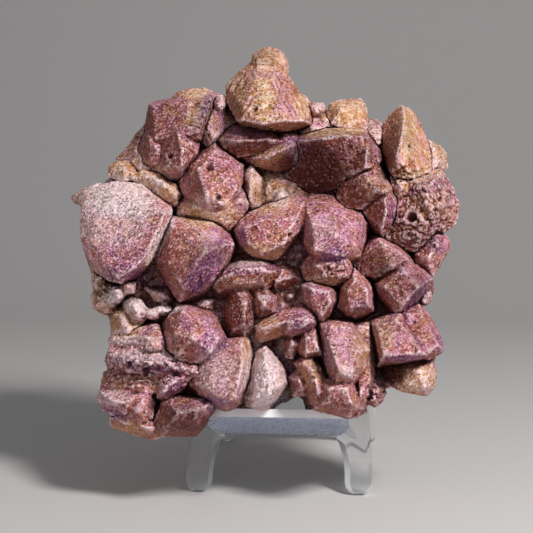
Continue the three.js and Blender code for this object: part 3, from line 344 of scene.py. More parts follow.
HOLES = {  # single holes: centre x, y, then radius and depth in mm
    "apex": (255, 108, 1.1, 1.6),
    "many-faced crystal": (210, 167, 1.5, 1.5),
    "porous mass, middle": (411, 217, 2.1, 3.4),
    "porous mass, upper": (441, 199, 1.2, 1.6),
    "layers, left": (129, 365, 1.4, 2.4),
    "layers, middle": (146, 372, 1.6, 2.4),
    "layers, right": (177, 366, 1.3, 2.2),
    "right knob, upper": (374, 387, 1.2, 2.0),
    "right knob, lower": (372, 396, 1.2, 2.0),
    "pitted tooth": (170, 156, 1.2, 1.4),
    "tall tooth": (410, 146, 0.9, 1.2),
    "centre crystal": (290, 235, 1.0, 1.2),
    "many-faced crystal's foot": (219, 198, 1.2, 1.4),
    "far block": (415, 322, 0.8, 1.0),
    "right edge crystal": (434, 246, 0.9, 1.2),
}
# striated faces: an ellipse as above, then the lines' own direction in degrees (clockwise from
# across), their spacing and their depth in mm
STRIATIONS = {
    "apex's left side": ((238, 95, 17, 32, -20, 1.0), 124, 2.0, 0.42),
    "apex's right side": ((287, 98, 16, 32, -22, 1.0), 64, 1.8, 0.30),
    "apex's foot": ((275, 125, 28, 6, -6, 1.0), -12, 1.4, 0.28),
    "cap": ((268, 66, 18, 5, 0, 0.8), 4, 1.2, 0.18),
    "banded lens": ((244, 271, 32, 11, -4, 1.0), -6, 1.5, 0.22),
    "tan lens": ((268, 328, 16, 13, 0, 1.0), -28, 1.2, 0.15),
    "many-faced crystal's right side": ((230, 170, 12, 20, 0, 1.0), 58, 1.5, 0.20),
    "right centre crystal": ((330, 206, 26, 9, 10, 0.6), 12, 1.5, 0.12),
    "tall tooth's left side": ((391, 140, 10, 30, 15, 0.8), 115, 1.3, 0.12),
    "right nugget": ((438, 158, 12, 20, 0, 1.0), -25, 1.6, 0.30),
    "porous mass's upper face": ((440, 188, 18, 14, 35, 0.7), 40, 1.3, 0.15),
    "left centre crystal's left side": ((166, 265, 9, 32, -10, 0.8), 70, 1.6, 0.14),
    "right tooth's left side": ((330, 355, 8, 30, -5, 0.6), 85, 1.3, 0.12),
    "shelf": ((138, 341, 30, 8, 0, 1.0), 3, 2.2, 0.30),
    "porous layer": ((146, 362, 42, 16, 2, 1.0), 3, 2.6, 0.45),
    "lower layer": ((136, 384, 34, 10, 0, 1.0), 0, 2.2, 0.40),
    "ochre knob": ((128, 286, 10, 8, 0, 1.0), 75, 1.3, 0.25),
    "wedge's right side": ((246, 362, 6, 26, 0, 0.8), 84, 1.2, 0.12),
    "blade's right edge": ((160, 238, 8, 30, 25, 0.7), 112, 1.2, 0.12),
}


def on_front(out):
    """1 at the front and 0 at the back, which the marks don't reach."""
    return ramp(out, 5, 13)


def within(x, y, ellipse, ragged):
    """How much each place belongs to one mark; ragged breaks up its border."""
    across, down, half_width, half_height, turn, strength = ellipse
    cos, sin = math.cos(math.radians(turn)), math.sin(math.radians(turn))
    right, below = x - across, y - down
    along = (right * cos + below * sin) / half_width
    beside = (-right * sin + below * cos) / half_height
    return strength * (1 - ramp(np.hypot(along, beside) + ragged, 0.55, 1.3))


def marked(x, y, marks, ragged):
    """How much each place belongs to any of the marks."""
    most = np.zeros(len(x))
    for ellipse in marks.values():
        most = np.maximum(most, within(x, y, ellipse, ragged))
    return most


def striated(points, x, y, ragged, seed):
    """The ridges on the striated faces: their height in mm, and how deep in a groove each place is."""
    total = np.zeros(len(x))
    groove = np.zeros(len(x))
    for number, (ellipse, direction, spacing, depth) in enumerate(STRIATIONS.values()):
        here = within(x, y, ellipse, ragged)
        lean = math.radians(direction + 90)
        across = (x * math.cos(lean) + y * math.sin(lean)) * UNIT
        bent = across + 0.5 * spacing * noise(points, 5, seed + number)
        ridge = np.abs(np.sin(math.pi * bent / spacing)) - 0.6
        total += here * depth * ridge
        groove = np.maximum(groove, here * (1 - ramp(ridge, -0.5, 0.2)))
    return total, groove


# ---------------------------------------------------------------- stone surfaces

LOOKS = {  # how far edges are sharpened, then mm: how far the surface grows, and each kind of relief
    "plain": dict(crisp=0.9, growth=0.08, swell=0.07, rough=0.12, grit=0.15, pits=0.55, bumps=0.10),
    "sharp": dict(crisp=1.0, growth=0.08, swell=0.05, rough=0.10, grit=0.12, pits=0.4, bumps=0.05),
    "lumpy": dict(crisp=0.5, growth=0.14, swell=0.30, rough=0.26, grit=0.18, pits=0.8, bumps=0.40),
    "rock": dict(crisp=0.2, growth=0.0, swell=0.8, rough=0.42, grit=0.18, pits=0.9, bumps=0.8),
}
STONES = {
    "apex_crystal": ("plain", "tan"),
    "upper_dark_crystals": ("sharp", "dark"),
    "upper_left_crystals": ("plain", "rose"),
    "upper_middle_crystals": ("plain", "rose"),
    "top_block": ("lumpy", "tan"),
    "upper_right_crystals": ("plain", "dark"),
    "right_tall_crystal": ("plain", "tan"),
    "right_porous_crystals": ("lumpy", "rose"),
    "right_edge_crystal": ("plain", "rose"),
    "right_middle_crystals": ("plain", "rose"),
    "right_lower_crystals": ("plain", "rose"),
    "lower_right_crystal": ("plain", "rose"),
    "left_shoulder_crystals": ("lumpy", "tan"),
    "left_blade_crystal": ("plain", "rose"),
    "left_centre_crystal": ("plain", "rose"),
    "centre_crystals": ("plain", "rose"),
    "inner_crystals": ("plain", "dark"),
    "five_sided_crystal": ("plain", "rose"),
    "small_centre_crystals": ("plain", "rose"),
    "right_inner_crystal": ("plain", "rose"),
    "lower_centre_crystals": ("plain", "rose"),
    "lower_middle_crystals": ("plain", "rose"),
    "lower_pale_crystal": ("lumpy", "rose"),
    "lower_left_crystals": ("lumpy", "rose"),
    "matrix": ("rock", "rock"),
}
CRYSTAL_FACE = 0.42  # mm, the length of a face of the finished mesh
MATRIX_FACE = 0.64
MOST_TRIANGLES = 192000
CRUST_HEIGHT = 0.24
FURROW_DEPTH = 0.9
SKY_REACH = 40  # mm within which a neighbour hides the sky
FURROW_WAY = 0.82 * RIGHT - 0.57 * ABOVE  # the furrows of the porous faces mostly run this way
COATED_AND_LIT_SIDE = np.array((0.60, -0.28, 0.75))  # faces turned this way, towards the key light, take the coated colour and faces turned away the darker bare colour: coating and painted light and shade
SKY_DIRECTIONS = [  # for how open each place is: across, up and out of the easel's face
    (0, 0, 1), (0.7, 0, 0.7), (-0.7, 0, 0.7), (0, 0.7, 0.7), (0, -0.7, 0.7),
    (0.5, 0.5, 0.7), (-0.5, 0.5, 0.7), (0.9, 0.3, 0.25), (-0.9, 0.3, 0.25), (0.2, 0.95, 0.25),
]


def remeshed(node, face):
    """A new mesh over a CAD node's shape, with even faces this long, in metres."""
    bm = bmesh.new()
    bm.from_mesh(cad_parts[node].data)
    bmesh.ops.remove_doubles(bm, verts=bm.verts, dist=1e-7)
    coarse = bpy.data.meshes.new(node + "_coarse")
    bm.to_mesh(coarse)
    bm.free()
    holder = bpy.data.objects.new(node + "_coarse", coarse)
    bpy.context.scene.collection.objects.link(holder)
    grid = holder.modifiers.new("Even", "REMESH")
    grid.mode = "VOXEL"
    grid.voxel_size = face
    grid.adaptivity = 0
    grid.use_smooth_shade = True
    seen = holder.evaluated_get(bpy.context.evaluated_depsgraph_get())
    even = bpy.data.meshes.new_from_object(seen)
    bpy.data.objects.remove(holder)
    bpy.data.meshes.remove(coarse)
    return even


class Surface:
    """A mesh's points in mm, its edges and its normals, worked on together."""

    def __init__(self, mesh):
        self.mesh = mesh
        count = len(mesh.vertices)
        flat = np.empty(count * 3)
        mesh.vertices.foreach_get("co", flat)
        self.points = flat.reshape(-1, 3) / MM
        links = np.empty(len(mesh.edges) * 2, dtype=np.int64)
        mesh.edges.foreach_get("vertices", links)
        self.links = links.reshape(-1, 2)
        self.ties = np.bincount(links, minlength=count)

    def averaged(self, values):
        """Each value's average over the neighbours it is tied to."""
        one, two = self.links[:, 0], self.links[:, 1]
        count = len(self.ties)
        columns = values.reshape(count, -1)
        summed = np.stack([
            np.bincount(one, column[two], count) + np.bincount(two, column[one], count)
            for column in columns.T
        ], axis=1)
        return (summed / self.ties[:, None]).reshape(values.shape)

    def smoothed(self, values, times, share=0.5):
        for _ in range(times):
            values = values * (1 - share) + self.averaged(values) * share
        return values

    def normals(self):
        self.mesh.vertices.foreach_set("co", (self.points * MM).ravel())
        self.mesh.update()
        flat = np.empty(len(self.points) * 3)
        self.mesh.vertex_normals.foreach_get("vector", flat)
        return flat.reshape(-1, 3)

    def push(self, amounts):
        self.points = self.points + self.normals() * amounts[:, None]

    def paint(self, name, *channels):
        colours = np.ones((len(self.points), 4))
        for channel, values in enumerate(channels):
            colours[:, channel] = np.clip(values, 0, 1)
        layer = self.mesh.attributes.new(name, "FLOAT_COLOR", "POINT")
        layer.data.foreach_set("color", colours.ravel())


def solids_tree():
    """All the stone solids as one tree for rays."""
    corners, faces = [], []
    for node in STONES:
        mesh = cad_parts[node].data
        start = len(corners)
        corners += [tuple(vertex.co) for vertex in mesh.vertices]
        faces += [tuple(start + i for i in face.vertices) for face in mesh.polygons]
    return BVHTree.FromPolygons(corners, faces)


def openness(surface, tree):
    """The share of the sky that each place sees, up to a hand's breadth away."""
    normals = surface.normals()
    seen = np.zeros(len(surface.points))
    total = np.zeros(len(surface.points))
    starts = (surface.points + normals * 0.9) * MM
    for across, up, out in SKY_DIRECTIONS:
        way = np.array((across, 0, 0)) + up * UP + out * OUT
        way = way / np.linalg.norm(way)
        facing = np.clip(normals @ way, 0, 1)
        total += facing
        ray = Vector(way)
        for i in np.nonzero(facing > 0.02)[0]:
            if tree.ray_cast(Vector(starts[i]), ray, SKY_REACH * MM)[0] is None:
                seen[i] += facing[i]
    return np.where(total > 0.05, seen / np.maximum(total, 0.05), 1)


def stone_relief(surface, look, seed):
    """Adds swells, roughness, a grainy crust, pits and holes; returns the pit share."""
    surface.points = surface.smoothed(surface.points, 1)
    surface.points += look["crisp"] * (surface.points - surface.smoothed(surface.points, 5))
    points = surface.points
    x, y, out = drawn(points)
    ragged = 0.25 * noise(points, 3.2, seed + 5)
    porous = on_front(out) * marked(x, y, PORES, ragged)
    calm = 1 - 0.75 * marked(x, y, CRISP, ragged) * ramp(out, 16, 22) if look["bumps"] > 0.5 else 1.0
    swell = look["swell"] * calm * (noise(points, 9, seed) + 0.6 * noise(points, 4.3, seed + 1))
    surface.push(swell + look["growth"])

    points = surface.points
    lumps, _, _ = grains(points, 2.4, seed + 2)
    crust, _, _ = grains(points, 1.15, seed + 7)
    bump = (look["bumps"] * calm + 0.35 * porous) * (0.55 - lumps) + CRUST_HEIGHT * (0.55 - crust)
    rough = look["rough"] * calm * noise(points, 1.9, seed + 3)
    grit = look["grit"] * noise(points, 0.95, seed + 4)
    near, _, number = grains(points, 1.5, seed + 6)
    chosen = number < 0.12 + 0.14 * look["pits"] + 0.6 * porous
    width = 0.28 + 0.24 * ((number * 37) % 1)
    pit = np.where(chosen, 1 - ramp(near / width, 0.35, 1.0), 0)
    depth = pit * (0.35 + 0.75 * porous) * (0.6 + look["pits"])
    drawn_out = points - 0.6 * (points @ FURROW_WAY)[:, None] * FURROW_WAY
    furrow = ramp(porous, 0.6, 0.95) * (1 - ramp(np.abs(noise(drawn_out, 2.6, seed + 8)), 0.03, 0.20))
    depth = depth + FURROW_DEPTH * furrow
    pit = np.maximum(pit, 0.8 * furrow)
    front = (surface.normals() @ TO_EYE) > -0.2
    for across, down, radius, deep in HOLES.values():
        away = np.hypot(x - across, y - down) * UNIT * (1 + 0.25 * ragged)
        hole = np.where(front, 1 - ramp(away / radius, 0.5, 1.15), 0)
        depth = depth + hole * deep
        pit = np.maximum(pit, hole)
    ridges, streak = striated(points, x, y, ragged, seed)
    surface.push(rough + grit + bump - depth + ridges)
    return pit, porous, streak


def edges_and_hollows(surface):
    """How far each place stands out of or sinks into its surroundings, and its face's direction."""
    near = surface.smoothed(surface.points, 6)
    calm = surface.smoothed(near, 12)
    normals = surface.normals()
    gap = ((surface.points - calm) * normals).sum(axis=1)
    ridge = surface.smoothed(((near - calm) * normals).sum(axis=1), 2)
    facing = surface.smoothed(normals, 8)
    facing = facing / np.linalg.norm(facing, axis=1)[:, None]
    return ramp(ridge, 0.04, 0.16), ramp(-gap, 0.06, 0.30), facing


def thinned(stone):
    """Merges the flattest faces of a stone that has too many."""
    count = 2 * len(stone.data.polygons)
    if count < MOST_TRIANGLES:
        return
    merge = stone.modifiers.new("Thin", "DECIMATE")
    merge.ratio = MOST_TRIANGLES / count
    seen = stone.evaluated_get(bpy.context.evaluated_depsgraph_get())
    thin = bpy.data.meshes.new_from_object(seen)
    stone.modifiers.clear()
    full = stone.data
    stone.data = thin
    bpy.data.meshes.remove(full)


def make_stone(node, face, tree, seed):
    """A CAD node's stone with its relief, and the attributes that its material reads."""
    kind, slot = STONES[node]
    surface = Surface(remeshed(node, face))
    pit, porous, streak = stone_relief(surface, LOOKS[kind], seed)
    edge, hollow, facing = edges_and_hollows(surface)
    points = surface.points
    x, y, out = drawn(points)
    ragged = 0.22 * noise(points, 4.5, 31) + 0.2 * noise(points, 1.6, 32)
    # how much open sky each place sees, which the material turns into painted shade
    open_sky = surface.smoothed(openness(surface, tree), 3)
    front = on_front(out)
    zones = [front * marked(x, y, marks, ragged) for marks in (PURPLE, OCHRE, DUST)]
    surface.paint("zones", *zones)
    # ridges for the rim colour, then hollows and pits, then open sky; the last two set painted shade in
    # the material
    surface.paint("ridges_and_shade", edge, np.maximum(hollow, pit), open_sky)
    # the first channel of "shade" is the painted shade of the marked places
    surface.paint("shade", front * marked(x, y, PAINTED_SHADE, 0.4 * ragged), porous, pit)
    # faces turned towards the key light take the coated colour and the rest the bare colour: partly
    # coating, partly painted light and shade
    coated = ramp(facing @ COATED_AND_LIT_SIDE + 0.25 * ragged, -0.15, 0.75)
    coated = np.maximum(coated, front * marked(x, y, COATED_AND_LIT, ragged))
    surface.paint("faces", coated, streak)
    surface.normals()
    stone = bpy.data.objects.new(node + "_stone", surface.mesh)
    bpy.context.scene.collection.objects.link(stone)
    stone.data.materials.clear()
    stone.data.materials.append(bpy.data.materials["Coated calcite " + slot])
    thinned(stone)
    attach(stone, BODY)
    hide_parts(node)
    return stone


# ---------------------------------------------------------------- materials


class Nodes:
    """Short calls for building a material's nodes."""

    def __init__(self, name):
        self.material = bpy.data.materials.new(name)
        self.material.use_nodes = True
        self.tree = self.material.node_tree
        self.shader = self.tree.nodes["Principled BSDF"]
        self.output = self.tree.nodes["Material Output"]
        self.place = self.add("ShaderNodeTexCoord").outputs["Object"]

    def add(self, kind, **settings):
        node = self.tree.nodes.new(kind)
        for name, value in settings.items():
            setattr(node, name, value)
        return node

    def link(self, source, socket):
        if isinstance(source, bpy.types.NodeSocket):
            self.tree.links.new(source, socket)
        else:
            socket.default_value = source

    def noise(self, size, detail=2.0, roughness=0.5, place=None):
        node = self.add("ShaderNodeTexNoise")
        self.link(place or self.place, node.inputs["Vector"])
        node.inputs["Scale"].default_value = 1 / (size * MM)
        node.inputs["Detail"].default_value = detail
        node.inputs["Roughness"].default_value = roughness
        return node.outputs["Fac"]

    def cells(self, size, feature="F1"):
        node = self.add("ShaderNodeTexVoronoi", feature=feature)
        self.link(self.place, node.inputs["Vector"])
        node.inputs["Scale"].default_value = 1 / (size * MM)
        return node

    def attribute(self, name):
        node = self.add("ShaderNodeAttribute", attribute_name=name)
        parts = self.add("ShaderNodeSeparateColor")
        self.link(node.outputs["Color"], parts.inputs[0])
        return parts.outputs

    def math(self, operation, one, two=0.5, clamp=False):
        node = self.add("ShaderNodeMath", operation=operation, use_clamp=clamp)
        self.link(one, node.inputs[0])
        self.link(two, node.inputs[1])
        return node.outputs[0]

    def between(self, value, low, high, to_low=0.0, to_high=1.0):
        node = self.add("ShaderNodeMapRange", interpolation_type="SMOOTHSTEP")
        self.link(value, node.inputs["Value"])
        node.inputs["From Min"].default_value = low
        node.inputs["From Max"].default_value = high
        node.inputs["To Min"].default_value = to_low
        node.inputs["To Max"].default_value = to_high
        return node.outputs["Result"]

    def mix(self, share, one, two, blend="MIX"):
        node = self.add("ShaderNodeMix", data_type="RGBA", blend_type=blend)
        self.link(share, node.inputs["Factor"])
        self.link(one, node.inputs["A"])
        self.link(two, node.inputs["B"])
        return node.outputs["Result"]

    def mixed(self, share, one, two):
        node = self.add("ShaderNodeMix", data_type="FLOAT")
        self.link(share, node.inputs["Factor"])
        self.link(one, node.inputs["A"])
        self.link(two, node.inputs["B"])
        return node.outputs["Result"]

    def vector(self, operation, one, two=None):
        node = self.add("ShaderNodeVectorMath", operation=operation)
        self.link(one, node.inputs[0])
        if two is not None:
            self.link(two, node.inputs["Scale" if operation == "SCALE" else 1])
        return node.outputs["Vector"]

    def bump(self, height, strength, distance, onto=None):
        node = self.add("ShaderNodeBump")
        self.link(height, node.inputs["Height"])
        node.inputs["Strength"].default_value = strength
        node.inputs["Distance"].default_value = distance * MM
        if onto is not None:
            self.link(onto, node.inputs["Normal"])
        return node.outputs["Normal"]


def colour(red, green, blue):
    """A display colour out of 255 as linear light."""
    def linear(value):
        share = value / 255
        return share / 12.92 if share <= 0.04045 else ((share + 0.055) / 1.055) ** 2.4
    return (linear(red), linear(green), linear(blue), 1.0)


SHADES = ("deep", "base", "light", "shaded_bare")
PALETTES = {  # each kind of stone's coating in three shades, and the darker bare colour of faces turned from the key light, partly painted shade
    "rose": (colour(138, 84, 74), colour(174, 115, 110), colour(206, 151, 157), colour(144, 90, 84)),
    "dark": (colour(92, 40, 32), colour(128, 68, 56), colour(168, 108, 98), colour(134, 80, 72)),
    "tan": (colour(150, 98, 76), colour(198, 146, 118), colour(228, 188, 164), colour(172, 118, 92)),
    "rock": (colour(112, 68, 56), colour(152, 104, 86), colour(190, 144, 124), colour(160, 112, 90)),
}
TINTS = {  # what lies on every kind of stone
    "purple": ("The purple patches", colour(120, 72, 120)),
    "lilac": ("The purple patches' rims and the bloom on the coating", colour(206, 156, 194)),
    "indigo": ("The dark grains in the purple patches", colour(58, 30, 74)),
    # wine is the painted shade of hollows, holes, the marked dark places and places with little open sky,
    # and the colour of the dark grains
    "wine": ("Hollows, holes and dark grains", colour(52, 10, 10)),
    "ochre": ("The iron-stained places", colour(204, 158, 116)),
    "cream": ("The palest of the iron-stained places", colour(238, 214, 188)),
    # the warm tint is the iron-stained colour on faces turned from the key light, partly painted shade
    "warm": ("The uncoated side of the iron-stained places", colour(194, 148, 118)),
    "dust": ("The fine white bloom", colour(244, 228, 228)),
    # the rim colour is partly worn edges and partly a painted highlight along the ridges
    "rim": ("The worn edges between faces", colour(240, 212, 214)),
    "streak": ("The grooves of the striated faces", colour(150, 92, 84)),
    "grain": ("The pale grains of the coating", colour(246, 216, 220)),
    # painted glints: the white grains stand in for the glints of the druse
    "spark": ("The few bright grains", colour(255, 252, 252)),
}
GRAIN = 0.62  # mm, the small crystals of the coating
GRAIN_TILT = 1.15
PINHOLES = 1.15  # mm between the coating's small holes, painted dark as shade


def stone_material(slot, stones):
    """The coated calcite of one kind, in the colours of the stones' settings."""
    deep, base, light, shaded_bare_tint = (getattr(stones, slot + "_" + shade) for shade in SHADES)
    n = Nodes("Coated calcite " + slot)
    zones, ridges_and_shade = n.attribute("zones"), n.attribute("ridges_and_shade")
    shade, faces = n.attribute("shade"), n.attribute("faces")
    edge, hollow, sky = ridges_and_shade[0], ridges_and_shade[1], ridges_and_shade[2]
    clouds = n.noise(9, 3.0)
    patches = n.noise(3.4, 4.0, 0.6)
    mottling = n.noise(1.3, 3.0, 0.6)
    druse = n.cells(GRAIN)
    number = n.add("ShaderNodeSeparateColor")
    n.link(druse.outputs["Color"], number.inputs[0])
    grain, second, third = number.outputs

    # the body: brown on the bare side turned from the key light, which is partly painted shade, rose and
    # lilac where the coating lies
    tone = n.mix(n.between(clouds, 0.35, 0.62), deep, base)
    tone = n.mix(n.between(patches, 0.46, 0.68, 0.0, 0.8), tone, light)
    shaded_bare = n.between(faces[0], 0.0, 0.75, 0.85, 0.0)
    tone = n.mix(shaded_bare, tone, shaded_bare_tint)
    rust = n.math("MULTIPLY", n.between(n.noise(4.2, 4.0, 0.6), 0.50, 0.64), 0.35)
    tone = n.mix(rust, tone, stones.ochre)
    cream = n.mix(n.between(patches, 0.42, 0.62), stones.ochre, stones.cream)
    ochre = n.math("MULTIPLY", zones[1], n.between(mottling, 0.25, 0.55, 0.5, 0.85))
    tone = n.mix(ochre, tone, n.mix(shaded_bare, cream, stones.warm))
    # the lilac bloom lies only on faces turned towards the key light: partly painted light
    bloom = n.math("MULTIPLY", faces[0], n.between(n.noise(5.5, 3.0, 0.6), 0.45, 0.65, 0.0, 0.45))
    bloom = n.math("MULTIPLY", bloom, n.between(zones[1], 0.2, 0.8, 1.0, 0.15))
    tone = n.mix(bloom, tone, stones.lilac)
    purple = n.math("MULTIPLY", zones[0], n.between(mottling, 0.3, 0.6, 0.4, 1.0))
    violet = n.mix(n.between(purple, 0.15, 0.50), stones.lilac, stones.purple)
    tone = n.mix(n.math("MULTIPLY", purple, 0.85), tone, violet)
    tone = n.mix(n.math("MULTIPLY", faces[1], 0.75), tone, stones.streak)
    # pale worn edges along convex ridges, partly a painted highlight
    rim = n.math("MULTIPLY", edge, n.between(n.noise(4.0, 3.0), 0.34, 0.56, 0.2, 0.8))
    tone = n.mix(rim, tone, stones.rim)
    dust = n.math("MULTIPLY", zones[2], n.between(mottling, 0.3, 0.6, 0.5, 1.0))
    tone = n.mix(n.math("MULTIPLY", dust, 0.85), tone, stones.dust)

    # the coating's grains: pale ones, dark ones, and indigo ones in the purple patches
    # pale grains are commoner on faces turned towards the key light: partly painted light
    pale = n.math("MULTIPLY", n.between(grain, 0.62, 0.95), n.between(faces[0], 0.0, 0.8, 0.24, 0.42))
    tone = n.mix(pale, tone, stones.grain)
    dark = n.mix(purple, stones.wine, stones.indigo)
    depth = n.between(purple, 0.0, 1.0, 0.18 if slot == "tan" else 0.30, 0.85)
    depth = n.math("MULTIPLY", depth, n.between(n.math("ADD", dust, zones[1]), 0.0, 0.8, 1.0, 0.2))
    depth = n.math("MULTIPLY", depth, n.between(n.noise(6.0, 3.0, 0.6), 0.38, 0.62, 0.45, 1.3))
    tone = n.mix(n.math("MULTIPLY", n.between(grain, 0.02, 0.34, 1.0, 0.0), depth), tone, dark)
    # painted shade: the marked places mixed towards wine
    tone = n.mix(n.math("MULTIPLY", shade[0], 0.88), tone, stones.wine)
    # painted shade: places that see little open sky, between and under the crystals, mixed towards wine
    tone = n.mix(n.between(sky, 0.05, 0.55, 0.75, 0.0), tone, stones.wine)
    # painted shade: hollows, pits, furrows and holes mixed towards the dark grain colour, less under the
    # dust
    hollow_shade = n.math("MULTIPLY", hollow, n.between(dust, 0.0, 0.7, 0.7, 0.4))
    tone = n.mix(hollow_shade, tone, dark)

    # painted shade in the small pinholes, which the bump also dents
    holes = n.cells(PINHOLES)
    hole_number = n.add("ShaderNodeSeparateColor")
    n.link(holes.outputs["Color"], hole_number.inputs[0])
    pin = n.between(holes.outputs["Distance"], 0.16, 0.36, 1.0, 0.0)
    pin = n.math("MULTIPLY", pin, n.between(hole_number.outputs[0], 0.58, 0.64))
    pin = n.math("MULTIPLY", pin, n.between(n.noise(6.5, 2.0), 0.36, 0.60, 0.25, 1.0))
    pin = n.math("MULTIPLY", pin, n.between(dust, 0.0, 0.6, 1.0, 0.3))
    tone = n.mix(n.math("MULTIPLY", pin, 0.8), tone, stones.wine)

    # painted glints: a few grain centres painted near white and made glossy, fewer in the painted shade
    lucky = n.between(second, 0.88, 0.91)
    centre = n.between(druse.outputs["Distance"], 0.30, 0.50, 1.0, 0.0)
    spread = n.between(n.noise(7.0, 2.0), 0.40, 0.62, 0.15, 1.0)
    spread = n.math("MULTIPLY", spread, n.between(shade[0], 0.0, 1.0, 1.0, 0.15))
    painted_glints = n.math("MULTIPLY", n.math("MULTIPLY", lucky, centre), spread)
    tone = n.mix(n.math("MULTIPLY", painted_glints, 0.9), tone, stones.spark)
    rich = n.add("ShaderNodeHueSaturation")
    rich.inputs["Saturation"].default_value = 1.18
    n.link(tone, rich.inputs["Color"])
    n.link(rich.outputs["Color"], n.shader.inputs["Base Color"])
    glossy = n.between(third, 0.5, 1.0, 0.65, 0.34)
    n.link(n.mixed(painted_glints, glossy, 0.12), n.shader.inputs["Roughness"])
    n.shader.inputs["Specular IOR Level"].default_value = 0.3

    # each grain is a small face with a tilt of its own
    crust = n.bump(n.math("SUBTRACT", n.noise(0.9, 3.0, 0.7), pin), 0.8, 0.5)
    tilt = n.vector("SUBTRACT", druse.outputs["Color"], (0.5, 0.5, 0.5))
    tilt = n.vector("SCALE", tilt, GRAIN_TILT)
    n.link(n.vector("NORMALIZE", n.vector("ADD", crust, tilt)), n.shader.inputs["Normal"])
    return n.material


def clear_material(easel):
    """Polished acrylic with a little haze and fine scratches."""
    n = Nodes("Clear acrylic")
    shader = n.shader
    shader.inputs["Base Color"].default_value = (0.965, 0.975, 0.985, 1)
    shader.inputs["Transmission Weight"].default_value = 0.93
    shader.inputs["IOR"].default_value = 1.49
    haze = n.between(n.noise(14, 3.0), 0.4, 0.7, 0.03, 0.10)
    scratch_place = n.add("ShaderNodeMapping")
    n.link(n.place, scratch_place.inputs["Vector"])
    scratch_place.inputs["Rotation"].default_value = (0, math.radians(24), 0)
    scratch_place.inputs["Scale"].default_value = (1.0, 1.0, 0.05)
    lines = n.between(n.noise(0.35, 1.0, 0.5, scratch_place.outputs[0]), 0.71, 0.75)
    n.link(n.math("ADD", haze, n.math("MULTIPLY", lines, 0.4)), shader.inputs["Roughness"])
    n.link(n.bump(lines, 0.25, 0.05), shader.inputs["Normal"])
    tint = n.add("ShaderNodeVolumeAbsorption")
    tint.inputs["Color"].default_value = easel.body_colour
    tint.inputs["Density"].default_value = 14.0
    n.link(tint.outputs[0], n.output.inputs["Volume"])
    return n.material


def worn_material(name, base, transmission, smoothest, roughest):
    """Acrylic that saw or rubbing has left dull."""
    n = Nodes(name)
    shader = n.shader
    shader.inputs["Base Color"].default_value = base
    shader.inputs["Transmission Weight"].default_value = transmission
    shader.inputs["IOR"].default_value = 1.49
    n.link(n.between(n.noise(2.0, 3.0), 0.35, 0.65, smoothest, roughest), shader.inputs["Roughness"])
    n.link(n.bump(n.noise(0.6, 2.0), 0.2, 0.05), shader.inputs["Normal"])
    return n.material


# ---------------------------------------------------------------- the easel

ARRIS_ROUND = 0.35
LEAST_ARRIS = math.radians(38)  # the sheet's bends turn less than this from face to face
BENT_TONGUE = 4.5  # mm in front of the easel's face, where the tongue's straight part starts


def wear_of(face):
    """0 for a clear face, 1 for the sheet's edges, sawn at the tongue's end and painted white along the
    sides to stand in for the glow of lit polished edges, and 2 for the tongue's scuffed faces.
    """
    out = (np.array(face.calc_center_median()) / MM - TONGUE_ROOT) @ OUT
    at_tongue_end = out > TONGUE_LENGTH - 1.5 and face.normal @ Vector(OUT) > 0.5
    if abs(face.normal.x) > 0.35 or at_tongue_end:
        return 1
    return 2 if out > BENT_TONGUE else 0


def make_easel(bevel):
    """The folded sheet, with its arrises rounded by bevel, in metres."""
    bm = bmesh.new()
    bm.from_mesh(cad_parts["easel"].data)
    bmesh.ops.remove_doubles(bm, verts=bm.verts, dist=1e-6)
    bmesh.ops.dissolve_limit(bm, angle_limit=math.radians(0.6), verts=bm.verts, edges=bm.edges)
    arrises = [edge for edge in bm.edges if edge.calc_face_angle(0) > LEAST_ARRIS]
    bmesh.ops.bevel(
        bm, geom=arrises, affect="EDGES", offset=bevel, segments=3, profile=0.5,
        material=-1, clamp_overlap=True,
    )
    for face in bm.faces:
        face.smooth = True
        face.material_index = wear_of(face)
    mesh = bpy.data.meshes.new("easel_sheet")
    bm.to_mesh(mesh)
    bm.free()
    easel = bpy.data.objects.new("easel_sheet", mesh)
    bpy.context.scene.collection.objects.link(easel)
    mesh.materials.append(bpy.data.materials["Clear acrylic"])
    mesh.materials.append(bpy.data.materials["Sawn edge and painted glow"])
    mesh.materials.append(bpy.data.materials["Scuffed acrylic"])
    mesh.set_sharp_from_angle(angle=math.radians(30))
    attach(easel, BODY)
    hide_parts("easel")
    return easel


# ---------------------------------------------------------------- stage

SENSOR = 36.0  # mm
LENS = SENSOR * EYE_DISTANCE / (2 * DRAWING_CENTRE * UNIT)
SWEEP_HALF_WIDTH = 5.0
SWEEP_FRONT = 1.6
SWEEP_BACK = 0.5
SWEEP_RADIUS = 0.6
SWEEP_HEIGHT = 1.2
MIDDLE = (0.0, 0.0, 0.09)  # what the lamps light


def lamp(name, size, power, place, aim, tint):
    """A square soft box."""
    data = bpy.data.lights.new(name, "AREA")
    data.size = size
    data.energy = power
    data.color = tint
    lamp_object = bpy.data.objects.new(name, data)
    bpy.context.scene.collection.objects.link(lamp_object)
    lamp_object.location = place
    lamp_object.rotation_mode = "QUATERNION"
    lamp_object.rotation_quaternion = (Vector(aim) - Vector(place)).to_track_quat("-Z", "Y")


